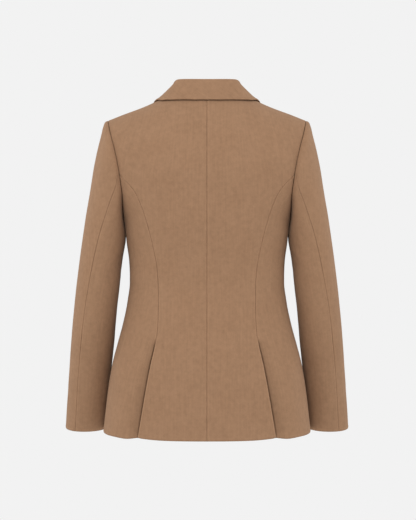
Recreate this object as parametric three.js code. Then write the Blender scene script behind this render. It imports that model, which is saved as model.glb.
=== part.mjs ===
// A fitted single-breasted jacket in the shape it has when worn, with nobody in it.
// Millimetres, +Z up. The front faces -Y and the wearer's left is +X. The origin is the middle of the neck,
// level with the two neck points where the shoulder seams start.
import * as THREE from "three";

// Cloth
const WALL = 2; // cloth with its interlining
const HALF_SEAM = 0.15; // each piece stops this short of its seam line
const LAID_GAP = 0.6; // between a piece and what it is folded over or laid on

// Heights
const HEM = -648;
const VENT_TOP = -458;
const PRINCESS_TOP = -155; // where the long seams run into the armhole
const ARCH_FOOT = -150; // above this height the back and front lean in towards the shoulder seam
const UNDERARM = -243;
const SHOULDER_END = -45;

// The shoulder
const NECK_HALF = 80;
const SHOULDER_HALF = 191.8;
const RIDGE_ROUND = 20; // how softly the two shoulder slopes would meet behind the neck
const RIDGE_SAG = { depth: 2.4, middle: 122, reach: 34 }; // the slope hangs a little between its ends
const RIDGE_BACK = { atNeck: 12, atEnd: 2 }; // how far the shoulder seam lies behind the side line

// How square the body's rings are: 2 is an ellipse
const SQUARENESS = 2.4;

// The body's rings: half the width, and how far back and front stand out from the side line. Above the
// underarm the width is the one that the ring would have if it ran on through the sleeves.
const BODY_RINGS = [
  { z: -655, half: 201.8, back: 137, front: 124 },
  { z: -606, half: 196.8, back: 130, front: 121 },
  { z: -560, half: 191.2, back: 123, front: 117.5 },
  { z: -520, half: 184.6, back: 115, front: 113.5 },
  { z: -480, half: 174.6, back: 105, front: 108 },
  { z: -440, half: 163.8, back: 95, front: 102 },
  { z: -400, half: 155.4, back: 87, front: 97 },
  { z: -355, half: 150.2, back: 82, front: 94 },
  { z: -320, half: 151.4, back: 84, front: 98 },
  { z: -285, half: 156, back: 89, front: 107 },
  { z: -243, half: 161, back: 97, front: 114 },
  { z: -215, half: 172, back: 101, front: 112 },
  { z: -187, half: 186, back: 104, front: 107 },
  { z: -150, half: 197, back: 108, front: 98 },
  { z: -100, half: 208, back: 108, front: 88 },
  { z: -46, half: 216, back: 106, front: 80 },
  { z: 40, half: 222, back: 104, front: 74 },
];

// The long seams of the back and of the front, as distances from the middle
const LONG_SEAMS = [
  { z: -655, back: 127.5, front: 126 },
  { z: -600, back: 119.6, front: 118 },
  { z: -550, back: 111.6, front: 110 },
  { z: -511, back: 104.5, front: 102.5 },
  { z: -482, back: 98.7, front: 97 },
  { z: -458, back: 94, front: 92.5 },
  { z: -418, back: 91.6, front: 86.5 },
  { z: -379, back: 91.8, front: 83 },
  { z: -336, back: 94, front: 83.5 },
  { z: -290, back: 102.2, front: 88 },
  { z: -259, back: 109.7, front: 95 },
  { z: -232, back: 117.5, front: 106 },
  { z: -205, back: 127.5, front: 121 },
  { z: -185, back: 137.7, front: 135 },
  { z: -155, back: 165.8, front: 162 },
];

// The armhole's distance from the middle, down to where its scooped bottom starts
const SCOOP_TOP = -187;
const ARMHOLE = [
  { z: -187, back: 161.3, front: 160.5 },
  { z: -165, back: 164.3, front: 161.2 },
  { z: -142, back: 168, front: 163.5 },
  { z: -106, back: 175.8, front: 171.5 },
  { z: -73, back: 185, front: 183 },
  { z: SHOULDER_END, back: 191.8, front: 191.8 },
];

// The neckline from centre back round to the roll line. over is the place on the shoulder's arch:
// 0 on the shoulder seam, 1 at the arch's foot behind and -1 at its foot in front.
const NECKLINE = [
  { s: 0, x: 0, over: 0.402 },
  { s: 1, x: 24, over: 0.375 },
  { s: 2, x: 45, over: 0.315 },
  { s: 3, x: 62, over: 0.232 },
  { s: 4, x: 74, over: 0.132 },
  { s: 5, x: NECK_HALF, over: 0 },
  { s: 6, x: 79.5, over: -0.15 },
  { s: 7, x: 74.5, over: -0.33 },
  { s: 8, x: 66.5, over: -0.48 },
  { s: 9, x: 58, over: -0.577 },
];
const NECK_POINT = 5;
const GORGE = 9;

// The front opening
const OVERLAP = 20; // each front runs this far past the middle
const BREAK = -318; // the lapel starts to turn back here
const BUTTON_HEIGHT = -345;
const EDGE = [
  // the left front's edge below the lapel, cut away in a curve to the hem
  { z: -648, x: 70 },
  { z: -645, x: 47 },
  { z: -636, x: 27 },
  { z: -620, x: 8 },
  { z: -594, x: -6 },
  { z: -555, x: -15 },
  { z: -500, x: -19.5 },
  { z: -430, x: -OVERLAP },
  { z: -318, x: -OVERLAP },
];
const LAYER = (WALL + 0.4) / 2; // the two fronts part by this much, one out and one in
const LAPEL_ROOM = 2.9; // more room where the left lapel lies under the right front
const LIFT = { none: 85, full: 25 }; // distances from the middle, on the piece's own side

// The vent: the side panel runs on under the back panel
const UNDERLAP = { width: 36, fall: 0.42, sink: 5.5, blend: 24, ramp: 24 };
const VENT = { dent: 11, spread: 36, lift: 1.6, hemRise: 2.6, hemSpread: 20 };

const TURN = Math.PI * 2;
const RIGHT_ANGLE = Math.PI / 2;
const rad = (degrees) => (degrees / 360) * TURN;
const lerp = (a, b, t) => a + (b - a) * t;
const clamp01 = (t) => Math.min(1, Math.max(0, t));
const ease = (t) => clamp01(t) ** 2 * (3 - 2 * clamp01(t));
const bump = (t) => Math.exp(-t * t);
const fade = (share, reach) => (reach < 1 ? ease(1 - (1 - share) / reach) : share);
const point = (x, y, z) => new THREE.Vector3(x, y, z);

// A smooth curve through a table's rows that never overshoots them. Returns a row for any value of its key.
function smooth(rows, key) {
  const at = rows.map((row) => row[key]);
  const names = Object.keys(rows[0]).filter((name) => name !== key);
  const steps = at.slice(1).map((x, i) => x - at[i]);
  const slopes = {};
  for (const name of names) {
    const rise = steps.map((step, i) => (rows[i + 1][name] - rows[i][name]) / step);
    slopes[name] = rows.map((row, i) => {
      const [before, after] = [rise[i - 1] ?? rise[i], rise[i] ?? rise[i - 1]];
      return before * after <= 0 ? 0 : (2 * before * after) / (before + after);
    });
  }
  return (x) => {
    let i = at.findIndex((next, k) => k > 0 && x <= next) - 1;
    if (i < 0) i = at.length - 2;
    if (x <= at[0]) i = 0;
    const t = (x - at[i]) / steps[i];
    const row = {};
    for (const name of names) {
      const [a, b] = [rows[i][name], rows[i + 1][name]];
      const [sa, sb] = [slopes[name][i] * steps[i], slopes[name][i + 1] * steps[i]];
      if (t < 0) row[name] = a + sa * t;
      else if (t > 1) row[name] = b + sb * (t - 1);
      else row[name] = a + t * (sa + t * (3 * (b - a) - 2 * sa - sb + t * (sa + sb - 2 * (b - a))));
    }
    return row;
  };
}

const bodyRing = smooth(BODY_RINGS, "z");
const longSeam = smooth(LONG_SEAMS, "z");
const armholeEdge = smooth(ARMHOLE, "z");
const frontEdge = smooth(EDGE, "z");
const neckline = smooth(NECKLINE, "s");

// Values from one number to the next in even steps, for each stretch between the stops.
function steps(stops, counts) {
  const values = [stops[0]];
  counts.forEach((count, k) => {
    for (let i = 1; i <= count; i++) values.push(lerp(stops[k], stops[k + 1], i / count));
  });
  return values;
}

// The shoulder
const softly = (x) => Math.hypot(x, RIDGE_ROUND);
const RIDGE_SLOPE = -SHOULDER_END / (softly(SHOULDER_HALF) - softly(NECK_HALF));
const ridgeSag = (x) => RIDGE_SAG.depth * bump((Math.abs(x) - RIDGE_SAG.middle) / RIDGE_SAG.reach);
const ridgeHeight = (x) => -RIDGE_SLOPE * (softly(x) - softly(NECK_HALF)) - ridgeSag(x);
const ridgeBack = (x) =>
  lerp(RIDGE_BACK.atNeck, RIDGE_BACK.atEnd, (Math.abs(x) - NECK_HALF) / (SHOULDER_HALF - NECK_HALF));

// A place on the body is its distance from the middle and a level: the height below the arch, and above it
// the share of the arch, so that every place on the shoulder seam has level 0.
const levelOver = (over) => ARCH_FOOT * Math.abs(over);
const heightAt = (x, level) =>
  level <= ARCH_FOOT
    ? level
    : ARCH_FOOT + (ridgeHeight(x) - ARCH_FOOT) * Math.sin((1 - level / ARCH_FOOT) * RIGHT_ANGLE);
const levelAt = (x, z) =>
  z <= ARCH_FOOT
    ? z
    : ARCH_FOOT * (1 - Math.asin(clamp01((z - ARCH_FOOT) / (ridgeHeight(x) - ARCH_FOOT))) / RIGHT_ANGLE);

// The back dips beside each vent
const ventShare = (z) => ease((VENT_TOP - z) / (VENT_TOP - HEM));
const ventDip = (x, z) =>
  -VENT.dent * ventShare(z) * bump((Math.abs(x) - longSeam(z).back) / VENT.spread);
const hemAt = (x, side) =>
  HEM + (side === "back" ? VENT.hemRise * bump((x - longSeam(HEM).back) / VENT.hemSpread) : 0);

// A point of the body's outer face, from the distance from the middle and the level.
function bodyPoint(side, x, level) {
  const z = heightAt(x, level);
  const ring = bodyRing(z);
  const full = (1 - Math.min(1, Math.abs(x) / ring.half) ** SQUARENESS) ** (1 / SQUARENESS);
  const y = side === "back" ? ring.back * full + ventDip(x, z) : -ring.front * full;
  if (level <= ARCH_FOOT) return point(x, y, z);
  const lean = Math.cos((1 - level / ARCH_FOOT) * RIGHT_ANGLE);
  return point(x, lerp(ridgeBack(x), y, lean), z);
}

// A point of the same face from its angle round the ring: 0 at the side, positive behind.
function ringPoint(angle, z) {
  const ring = bodyRing(z);
  const [c, s] = [Math.cos(angle), Math.sin(angle)];
  const x = ring.half * Math.abs(c) ** (2 / SQUARENESS);
  const y = Math.abs(s) ** (2 / SQUARENESS) * (s > 0 ? ring.back : -ring.front);
  return point(x, s > 0 ? y + ventDip(x, z) * ease(s * 3) : y, z);
}
function ringNormal(p) {
  const ring = bodyRing(p.z);
  const steep = (length, half) => Math.abs(length / half) ** (SQUARENESS - 1) / half;
  return point(steep(p.x, ring.half), steep(p.y, ring.back) * Math.sign(p.y), 0).normalize();
}
const ringAngle = (x, z) => Math.acos(clamp01(x / bodyRing(z).half) ** (SQUARENESS / 2));

// The armhole, by its own angle: 0 at the shoulder, 90 behind, 180 under the arm, 270 in front.
const ARMHOLE_MIDDLE = (SHOULDER_END + UNDERARM) / 2;
const ARMHOLE_HALF = (SHOULDER_END - UNDERARM) / 2;
const armholeHeight = (turn) => ARMHOLE_MIDDLE + ARMHOLE_HALF * Math.cos(turn);
const armholeTurn = (z) => Math.acos((z - ARMHOLE_MIDDLE) / ARMHOLE_HALF);
function scoopAngle(side, z) {
  const share = clamp01((SCOOP_TOP - z) / (SCOOP_TOP - UNDERARM));
  return ringAngle(armholeEdge(SCOOP_TOP)[side], SCOOP_TOP) * Math.sqrt(1 - share * share);
}
function armholePoint(turn) {
  const z = armholeHeight(turn);
  const side = Math.sin(turn) >= 0 ? "back" : "front";
  if (z < SCOOP_TOP) return ringPoint((side === "back" ? 1 : -1) * scoopAngle(side, z), z);
  const x = armholeEdge(z)[side];
  return bodyPoint(side, x, levelAt(x, z));
}
// The armhole's distance from the middle at a level
function armholeAt(side, level) {
  let x = armholeEdge(heightAt(SHOULDER_HALF, level))[side];
  for (let i = 0; i < 12; i++) x = armholeEdge(heightAt(x, level))[side];
  return x;
}

// A point with the direction that its face looks in. away is a point behind the face.
const REACH = 0.05;
function facing(surface, a, b, away, scale = 1) {
  const along = surface(a + REACH * scale, b).sub(surface(a - REACH * scale, b));
  const up = surface(a, b + REACH).sub(surface(a, b - REACH));
  const here = surface(a, b);
  const normal = along.cross(up).normalize();
  if (normal.dot(here.clone().sub(away(here))) < 0) normal.negate();
  return { point: here, normal };
}
const bodyMiddle = (p) => point(p.x * 0.45, 0, Math.min(p.z, ARCH_FOOT));

// A patch whose four edges are given in its surface's own two coordinates. How far the top and the bottom
// bow from straight is faded out over the share called reach.
function patch({ left, right, bottom, top, across, up, surface, away, scale, reach = 1 }) {
  const bow = (edge, u) => [0, 1].map((k) => edge(u)[k] - lerp(edge(0)[k], edge(1)[k], u));
  return up.map((v) =>
    across.map((u) => {
      const [low, high] = [bow(bottom, u), bow(top, u)];
      const place = [0, 1].map(
        (k) =>
          lerp(left(v)[k], right(v)[k], u) +
          low[k] * fade(1 - v, reach) +
          high[k] * fade(v, reach),
      );
      return facing((p, q) => surface(p, q, u, v), place[0], place[1], away, scale);
    }),
  );
}

const mirrored = (grid) =>
  grid.map((row) =>
    row.map(
      (node) =>
        node && {
          point: point(-node.point.x, node.point.y, node.point.z),
          normal: point(-node.normal.x, node.normal.y, node.normal.z),
        },
    ),
  );

// A closed wall of cloth whose outer face is a grid of points. A grid may have empty places.
function wall(grid, thickness = WALL) {
  const nodes = [];
  const number = grid.map((row) => row.map((node) => (node ? nodes.push(node) - 1 : -1)));
  let faces = [];
  for (let j = 0; j + 1 < grid.length; j++)
    for (let i = 0; i + 1 < grid[j].length; i++) {
      const [a, b] = [number[j][i], number[j][i + 1]];
      const [c, d] = [number[j + 1][i + 1], number[j + 1][i]];
      if (Math.min(a, b, c, d) < 0) continue;
      const long = (p, q) => nodes[p].point.distanceTo(nodes[q].point);
      if (long(a, c) <= long(b, d)) faces.push([a, b, c], [a, c, d]);
      else faces.push([a, b, d], [b, c, d]);
    }
  const [a, b, c] = faces[Math.floor(faces.length / 2)].map((k) => nodes[k].point);
  const looks = b.clone().sub(a).cross(c.clone().sub(a));
  if (looks.dot(nodes[faces[Math.floor(faces.length / 2)][0]].normal) < 0)
    faces = faces.map(([p, q, r]) => [p, r, q]);
  const rim = new Map();
  for (const face of faces)
    face.forEach((p, k) => {
      const q = face[(k + 1) % 3];
      if (!rim.delete(q + "," + p)) rim.set(p + "," + q, [p, q]);
    });
  const behind = nodes.length;
  const index = faces.flat();
  for (const [p, q, r] of faces) index.push(p + behind, r + behind, q + behind);
  for (const [p, q] of rim.values()) index.push(q, p, p + behind, q, p + behind, q + behind);
  const outer = nodes.map((node) => node.point);
  const inner = nodes.map((node) => node.point.clone().addScaledVector(node.normal, -thickness));
  return new THREE.BufferGeometry().setFromPoints([...outer, ...inner]).setIndex(index);
}

// Rows of points that the panels share along their seams
const UP_LONG = steps([HEM, VENT_TOP, PRINCESS_TOP], [8, 13]);
const UP_ALL = [...UP_LONG, ...steps([PRINCESS_TOP, 0], [9]).slice(1)];

// The back panel, from the centre seam to the long seam and the armhole
const BACK_NECK_SHARE = NECK_HALF / SHOULDER_HALF;
const NECK_REACH = 0.3; // the rows follow the neckline and the hem over this share of the height
function neckOverAt(x) {
  let [low, high] = [0, NECK_POINT];
  for (let i = 0; i < 30; i++) {
    const middle = (low + high) / 2;
    if (neckline(middle).x < x) low = middle;
    else high = middle;
  }
  return neckline(low).over;
}
function backPanel() {
  const rise = (v) => lerp(HEM, 0, v);
  const neckLevel = levelOver(NECKLINE[0].over);
  const outerEdge = (v) => {
    const level = rise(v);
    const x = level <= PRINCESS_TOP ? longSeam(level).back : armholeAt("back", level);
    return [x - HALF_SEAM, v === 0 ? hemAt(x, "back") : level - HALF_SEAM * v];
  };
  const hemEdge = (u) => {
    const x = lerp(HALF_SEAM, outerEdge(0)[0], u);
    return [x, hemAt(x, "back")];
  };
  return patch({
    left: (v) => [HALF_SEAM, v === 0 ? hemAt(0, "back") : rise(v) + neckLevel * fade(v, NECK_REACH)],
    right: outerEdge,
    bottom: hemEdge,
    top: (u) => {
      const x = lerp(HALF_SEAM, SHOULDER_HALF - HALF_SEAM, u);
      return [x, u < BACK_NECK_SHARE ? Math.min(levelOver(neckOverAt(x)), -HALF_SEAM) : -HALF_SEAM];
    },
    across: steps([0, 0.3, BACK_NECK_SHARE, 0.54, 1], [3, 3, 2, 4]),
    up: UP_ALL.map((level) => (level - HEM) / -HEM),
    surface: (x, level) => {
      const p = bodyPoint("back", x, level);
      const edge = bump((x - longSeam(Math.min(p.z, PRINCESS_TOP)).back) / UNDERLAP.blend);
      p.y += VENT.lift * ventShare(p.z) * edge;
      return p;
    },
    away: bodyMiddle,
    reach: NECK_REACH,
  });
}

// The side panel goes round under the arm, from the back's long seam to the front's
const rings = (z) => ({
  back: ringAngle(longSeam(z).back + HALF_SEAM, z),
  front: -ringAngle(longSeam(z).front + HALF_SEAM, z),
});
function sidePoint(angle, z) {
  const p = ringPoint(angle, z);
  const inside = angle > 0 ? longSeam(z).back + UNDERLAP.blend - p.x : 0;
  const start = ease((VENT_TOP - z) / UNDERLAP.ramp);
  const sink = UNDERLAP.sink * start * ease(inside / UNDERLAP.blend);
  return sink > 0 ? p.addScaledVector(ringNormal(p), -sink) : p;
}
function sidePanel() {
  const turnBack = armholeTurn(PRINCESS_TOP);
  const turns = (u) => lerp(turnBack, TURN - turnBack, u);
  const top = (u) => {
    const z = armholeHeight(turns(u));
    const side = u < 0.5 ? "back" : "front";
    const sign = u < 0.5 ? 1 : -1;
    const angle = z < SCOOP_TOP ? scoopAngle(side, z) : ringAngle(armholeEdge(z)[side], z);
    if (u === 0) return [rings(PRINCESS_TOP).back, PRINCESS_TOP];
    if (u === 1) return [rings(PRINCESS_TOP).front, PRINCESS_TOP];
    return [sign * angle, z];
  };
  const rise = (v) => lerp(HEM, PRINCESS_TOP, v);
  const hemEdge = (u) => {
    const angle = lerp(rings(HEM).back, rings(HEM).front, u);
    return [angle, hemAt(ringPoint(angle, HEM).x, angle > 0 ? "back" : "front")];
  };
  const ups = UP_LONG.map((z) => (z - HEM) / (PRINCESS_TOP - HEM));
  const main = patch({
    left: (v) => [rings(rise(v)).back, v === 0 ? hemEdge(0)[1] : rise(v)],
    right: (v) => [rings(rise(v)).front, rise(v)],
    bottom: hemEdge,
    top,
    across: steps([0, 0.09, 0.42, 0.62, 1], [2, 5, 3, 5]),
    up: ups,
    surface: sidePoint,
    away: bodyMiddle,
    scale: 0.01,
  });
  // The underlap starts where the panel's edge is fully sunk. Its top edge falls away from the seam, and its
  // rows are squeezed below it.
  const columns = 3;
  const lapTop = UP_LONG.filter((level) => level <= VENT_TOP - UNDERLAP.ramp).pop();
  const lap = UP_LONG.map((level) => {
    if (level > lapTop) return Array(columns).fill(null);
    return Array.from({ length: columns }, (_, k) => {
      const out = (UNDERLAP.width * (columns - k)) / columns;
      const share = (level - HEM) / (lapTop - HEM);
      const x = longSeam(level).back + HALF_SEAM - out;
      const z = lerp(hemAt(x, "back"), lapTop - out * UNDERLAP.fall, share);
      return facing(sidePoint, ringAngle(x, z), z, bodyMiddle, 0.01);
    });
  });
  return main.map((row, j) => [...lap[j], ...row]);
}

// The front panels. The right one laps over the left one.
function lifted(p, x, layer) {
  const share = ease((LIFT.none - x) / (LIFT.none - LIFT.full));
  const span = ease((p.z - BREAK + 62) / 50) * ease((-180 - p.z) / 62);
  p.y -= share * (layer > 0 ? LAYER + LAPEL_ROOM * span : -LAYER);
  return p;
}
const frontFace = (layer) => (x, level) => lifted(bodyPoint("front", x, level), x, layer);
const gorgeLevel = levelOver(NECKLINE[GORGE].over);
const GORGE_X = NECKLINE[GORGE].x;
const GORGE_Z = heightAt(GORGE_X, gorgeLevel);
// The roll line is straight as seen from the front
const rollLine = (z) => lerp(-OVERLAP, GORGE_X, (z - BREAK) / (GORGE_Z - BREAK));
function frontInner(level) {
  if (level <= BREAK) return frontEdge(level).x;
  if (level <= ARCH_FOOT) return rollLine(level);
  if (level <= gorgeLevel) {
    let x = GORGE_X;
    for (let i = 0; i < 12; i++) x = rollLine(heightAt(x, level));
    return x;
  }
  let [low, high] = [NECK_POINT, GORGE];
  for (let i = 0; i < 30; i++) {
    const middle = (low + high) / 2;
    if (levelOver(neckline(middle).over) > level) low = middle;
    else high = middle;
  }
  return neckline(low).x;
}
const UP_FRONT = [
  ...steps([HEM, -640, -610, VENT_TOP], [2, 3, 6]),
  ...UP_LONG.filter((level) => level > VENT_TOP),
  ...steps([PRINCESS_TOP, gorgeLevel, 0], [3, 7]).slice(1),
];
function frontPanel(layer) {
  const rise = (v) => lerp(HEM, 0, v);
  const outerEdge = (v) => {
    const level = rise(v);
    const x = level <= PRINCESS_TOP ? longSeam(level).front : armholeAt("front", level);
    return [x - HALF_SEAM, Math.min(level, -HALF_SEAM * v)];
  };
  const innerEdge = (v) => [frontInner(rise(v)), Math.min(rise(v), -HALF_SEAM * v)];
  return patch({
    left: innerEdge,
    right: outerEdge,
    bottom: (u) => [lerp(innerEdge(0)[0], outerEdge(0)[0], u), HEM],
    top: (u) => [lerp(innerEdge(1)[0], outerEdge(1)[0], u), -HALF_SEAM],
    across: steps([0, 0.3, 1], [4, 6]),
    up: UP_FRONT.map((level) => (level - HEM) / -HEM),
    surface: frontFace(layer),
    away: bodyMiddle,
  });
}

// The sleeve's rings, from the armhole down. out is the ring's outermost point and in its innermost one,
// back and front how far it stands out from its own middle, forward how far that middle has swung forward,
// seat how much it still follows the armhole, and seam the angle of the seam behind.
const SLEEVE_RINGS = [
  { k: 0, outX: 191.8, outZ: -45, inX: 161, inZ: -243, back: 68, front: 64, forward: 0, seat: 1, seam: 94.5 },
  { k: 1, outX: 195.4, outZ: -46.2, inX: 161.9, inZ: -244.5, back: 72, front: 66, forward: 0, seat: 0.86, seam: 97.7 },
  { k: 2, outX: 199.3, outZ: -49.5, inX: 162.7, inZ: -247, back: 74, front: 67, forward: 0, seat: 0.7, seam: 101 },
  { k: 3, outX: 202.7, outZ: -57.5, inX: 163.2, inZ: -250.5, back: 74.5, front: 67, forward: 0, seat: 0.55, seam: 102.7 },
  { k: 4, outX: 206.5, outZ: -73, inX: 163.2, inZ: -255, back: 74, front: 66.5, forward: 0, seat: 0.4, seam: 102.2 },
  { k: 5, outX: 212.8, outZ: -97.5, inX: 162.4, inZ: -261, back: 72.5, front: 65.5, forward: 0, seat: 0.25, seam: 100.2 },
  { k: 6, outX: 220.6, outZ: -135, inX: 161.4, inZ: -269, back: 70, front: 64, forward: 0, seat: 0.12, seam: 96.6 },
  { k: 7, outX: 228.8, outZ: -185, inX: 161, inZ: -278, back: 67, front: 62.5, forward: 0, seat: 0.04, seam: 91.2 },
  { k: 8, outX: 237.6, outZ: -238, inX: 161.8, inZ: -290, back: 64, front: 61, forward: 1, seat: 0, seam: 85 },
  { k: 9, outX: 246.6, outZ: -300, inX: 165.4, inZ: -318, back: 60, front: 58.5, forward: 2, seat: 0, seam: 78 },
  { k: 10, outX: 254, outZ: -357, inX: 170.2, inZ: -364, back: 56.5, front: 56, forward: 3, seat: 0, seam: 72 },
  { k: 11, outX: 260.6, outZ: -412, inX: 176.6, inZ: -416, back: 54, front: 53.5, forward: 7, seat: 0, seam: 68 },
  { k: 12, outX: 267, outZ: -473, inX: 182.6, inZ: -476, back: 51, front: 50, forward: 17, seat: 0, seam: 64.5 },
  { k: 13, outX: 272.5, outZ: -533, inX: 189, inZ: -535, back: 48, front: 46.5, forward: 29, seat: 0, seam: 63.5 },
  { k: 14, outX: 277.9, outZ: -593, inX: 194, inZ: -594, back: 45, front: 43.5, forward: 41, seat: 0, seam: 63.5 },
  { k: 15, outX: 282.4, outZ: -650, inX: 198.4, inZ: -650, back: 43, front: 42, forward: 51, seat: 0, seam: 63.5 },
];
const CUFF = SLEEVE_RINGS.length - 1;
const CUFF_DROP = 2.6; // the cuff is this much longer behind
const SLEEVE_FRONT_SEAM = rad(-122);
const sleeveRing = smooth(SLEEVE_RINGS, "k");
const SLEEVE_CLEAR = 0.6; // the sleeve starts this far outside the armhole's edge

function ovalPoint(ring, turn) {
  const [c, s] = [Math.cos(turn), Math.sin(turn)];
  return point(
    (ring.outX + ring.inX) / 2 + ((ring.outX - ring.inX) / 2) * c,
    (s > 0 ? ring.back : ring.front) * s - ring.forward,
    (ring.outZ + ring.inZ) / 2 + ((ring.outZ - ring.inZ) / 2) * c,
  );
}
function sleevePoint(turn, k) {
  const ring = sleeveRing(k);
  const p = ovalPoint(ring, turn);
  p.x += SLEEVE_CLEAR;
  p.z -= CUFF_DROP * ease((k - 12) / 3) * Math.max(0, Math.sin(turn));
  if (ring.seat <= 0) return p;
  const seat = armholePoint((turn + TURN) % TURN).sub(ovalPoint(SLEEVE_RINGS[0], turn));
  return p.addScaledVector(seat, ring.seat);
}
const sleeveMiddle = (k) => () => {
  const ring = sleeveRing(Math.max(k, 1.5));
  return point((ring.outX + ring.inX) / 2, -ring.forward, (ring.outZ + ring.inZ) / 2);
};
const SLEEVE_UP = steps([0, 4, 9, CUFF], [5, 6, 7]);
function sleevePiece(fromTurn, toTurn, columns) {
  return SLEEVE_UP.map((k) =>
    steps([0, 1], [columns]).map((u) => {
      const turn = lerp(fromTurn(k), toTurn(k), u);
      return facing(sleevePoint, turn, k, sleeveMiddle(k), 0.01);
    }),
  );
}
const SLEEVE_SEAM = HALF_SEAM / 40; // half a seam as an angle
const backSeam = (k) => rad(sleeveRing(k).seam);
const upperSleeve = () =>
  sleevePiece(
    () => SLEEVE_FRONT_SEAM + SLEEVE_SEAM,
    (k) => backSeam(k) - SLEEVE_SEAM,
    14,
  );
const underSleeve = () =>
  sleevePiece(
    (k) => backSeam(k) + SLEEVE_SEAM,
    () => SLEEVE_FRONT_SEAM - SLEEVE_SEAM + TURN,
    10,
  );

// The lapel starts at the front's edge, turns round it and lies back on the front. s runs from the break to
// the gorge along its outer edge.
const FOLD_STEPS = 5;
const LAPEL_FOLD = WALL + LAID_GAP / 2; // the fold's radius
const LAPEL_EDGE = [
  { s: 0, x: -13, z: -322 },
  { s: 0.15, x: 12, z: -303 },
  { s: 0.35, x: 55, z: -262 },
  { s: 0.6, x: 99, z: -198 },
  { s: 0.82, x: 125, z: -142 },
  { s: 1, x: 135, z: -101.5 },
];
const LAPEL_COLUMNS = 6;
const ROLL = { height: 2.4, reach: 14, from: -236, over: 50 }; // the lapel stands off beside its fold
const lapelEdge = smooth(LAPEL_EDGE, "s");
function rollFrame(z, layer) {
  const face = frontFace(layer);
  const at = (height) => face(rollLine(height), levelAt(rollLine(height), height));
  const here = facing(face, rollLine(z), levelAt(rollLine(z), z), bodyMiddle);
  const along = at(z + 1).sub(at(z - 1)).normalize();
  const inward = along.cross(here.normal).normalize();
  if (inward.x > 0) inward.negate();
  return { ...here, inward };
}
function lapelPiece(layer) {
  const face = frontFace(layer);
  return steps([0, 1], [15]).map((s) => {
    const z = lerp(BREAK + 2, GORGE_Z - 0.8, s);
    const { point: edge, normal, inward } = rollFrame(z, layer);
    const centre = edge.clone().addScaledVector(normal, LAID_GAP / 2);
    centre.addScaledVector(inward, 2 * HALF_SEAM);
    const row = [];
    for (let i = 0; i <= FOLD_STEPS; i++) {
      const turn = Math.PI * (1 - i / FOLD_STEPS);
      const way = normal.clone().multiplyScalar(Math.cos(turn));
      way.addScaledVector(inward, Math.sin(turn));
      row.push({ point: centre.clone().addScaledVector(way, LAPEL_FOLD), normal: way });
    }
    const foot = rollLine(z);
    const tip = lapelEdge(s);
    const length = Math.hypot(tip.x - foot, tip.z - z);
    const stand = ROLL.height * ease((z - ROLL.from) / ROLL.over);
    for (let i = 1; i <= LAPEL_COLUMNS; i++) {
      const share = i / LAPEL_COLUMNS;
      const [x, height] = [lerp(foot, tip.x, share), lerp(z, tip.z, share)];
      const node = facing(face, x, levelAt(x, height), bodyMiddle);
      const from = (length * share) / ROLL.reach;
      const off = WALL + LAID_GAP + stand * from * Math.exp(1 - from);
      row.push({ point: node.point.addScaledVector(node.normal, off), normal: node.normal });
    }
    return row;
  });
}

// The collar's stations from centre back to the gorge. s is the place on the neckline, fold the top of the
// fold, edge and over the place of the fall's edge on the body.
const COLLAR = [
  { k: 0, s: 0, foldX: 0, foldY: 61, foldZ: 27.2, edge: 0, over: 0.453, off: 4.2, flat: 0 },
  { k: 0.5, s: 0.65, foldX: 15.2, foldY: 60.2, foldZ: 27.4, edge: 18.2, over: 0.44, off: 4.2, flat: 0 },
  { k: 1, s: 1.3, foldX: 30, foldY: 57.5, foldZ: 27.9, edge: 36, over: 0.41, off: 4.2, flat: 0 },
  { k: 1.5, s: 1.9, foldX: 43.2, foldY: 51.6, foldZ: 28.8, edge: 51.8, over: 0.374, off: 4.1, flat: 0 },
  { k: 2, s: 2.5, foldX: 54, foldY: 43, foldZ: 29.6, edge: 66, over: 0.333, off: 3.9, flat: 0 },
  { k: 2.5, s: 3.1, foldX: 60.6, foldY: 33.9, foldZ: 28.5, edge: 77.3, over: 0.289, off: 3.7, flat: 0 },
  { k: 3, s: 3.7, foldX: 65, foldY: 24, foldZ: 26.3, edge: 86, over: 0.245, off: 3.5, flat: 0 },
  { k: 4, s: 4.8, foldX: 71, foldY: 3, foldZ: 20.5, edge: 96.5, over: 0.12, off: 3.1, flat: 0.08 },
  { k: 5, s: 6, foldX: 72.5, foldY: -18, foldZ: 9, edge: 103.5, over: -0.07, off: 2.9, flat: 0.3 },
  { k: 6, s: 7.3, foldX: 69.5, foldY: -37, foldZ: -10, edge: 112, over: -0.28, off: 2.9, flat: 0.6 },
  { k: 7, s: 8.3, foldX: 64, foldY: -50.5, foldZ: -29.5, edge: 118.5, over: -0.43, off: 2.9, flat: 0.85 },
  { k: 8, s: 8.6, foldX: 61, foldY: -55.7, foldZ: -38.6, edge: 121, over: -0.5, off: 2.9, flat: 0.95 },
  { k: 9, s: 8.78, foldX: 57.9, foldY: -60.4, foldZ: -47.9, edge: 100, over: -0.662, off: 2.9, flat: 1 },
];
const collarRow = smooth(COLLAR, "k");
const COLLAR_END = COLLAR[COLLAR.length - 1].k;
const STAND_SIT = 1.15; // the stand starts this far above the neckline
const overPoint = (x, percent) =>
  bodyPoint(percent >= 0 ? "back" : "front", x, levelOver(percent / 100));
const neckPoint = (s) => overPoint(neckline(s).x, neckline(s).over * 100);
const foldAt = (k) => {
  const row = collarRow(Math.abs(k));
  return point(Math.sign(k) * row.foldX, row.foldY, row.foldZ);
};
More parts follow.
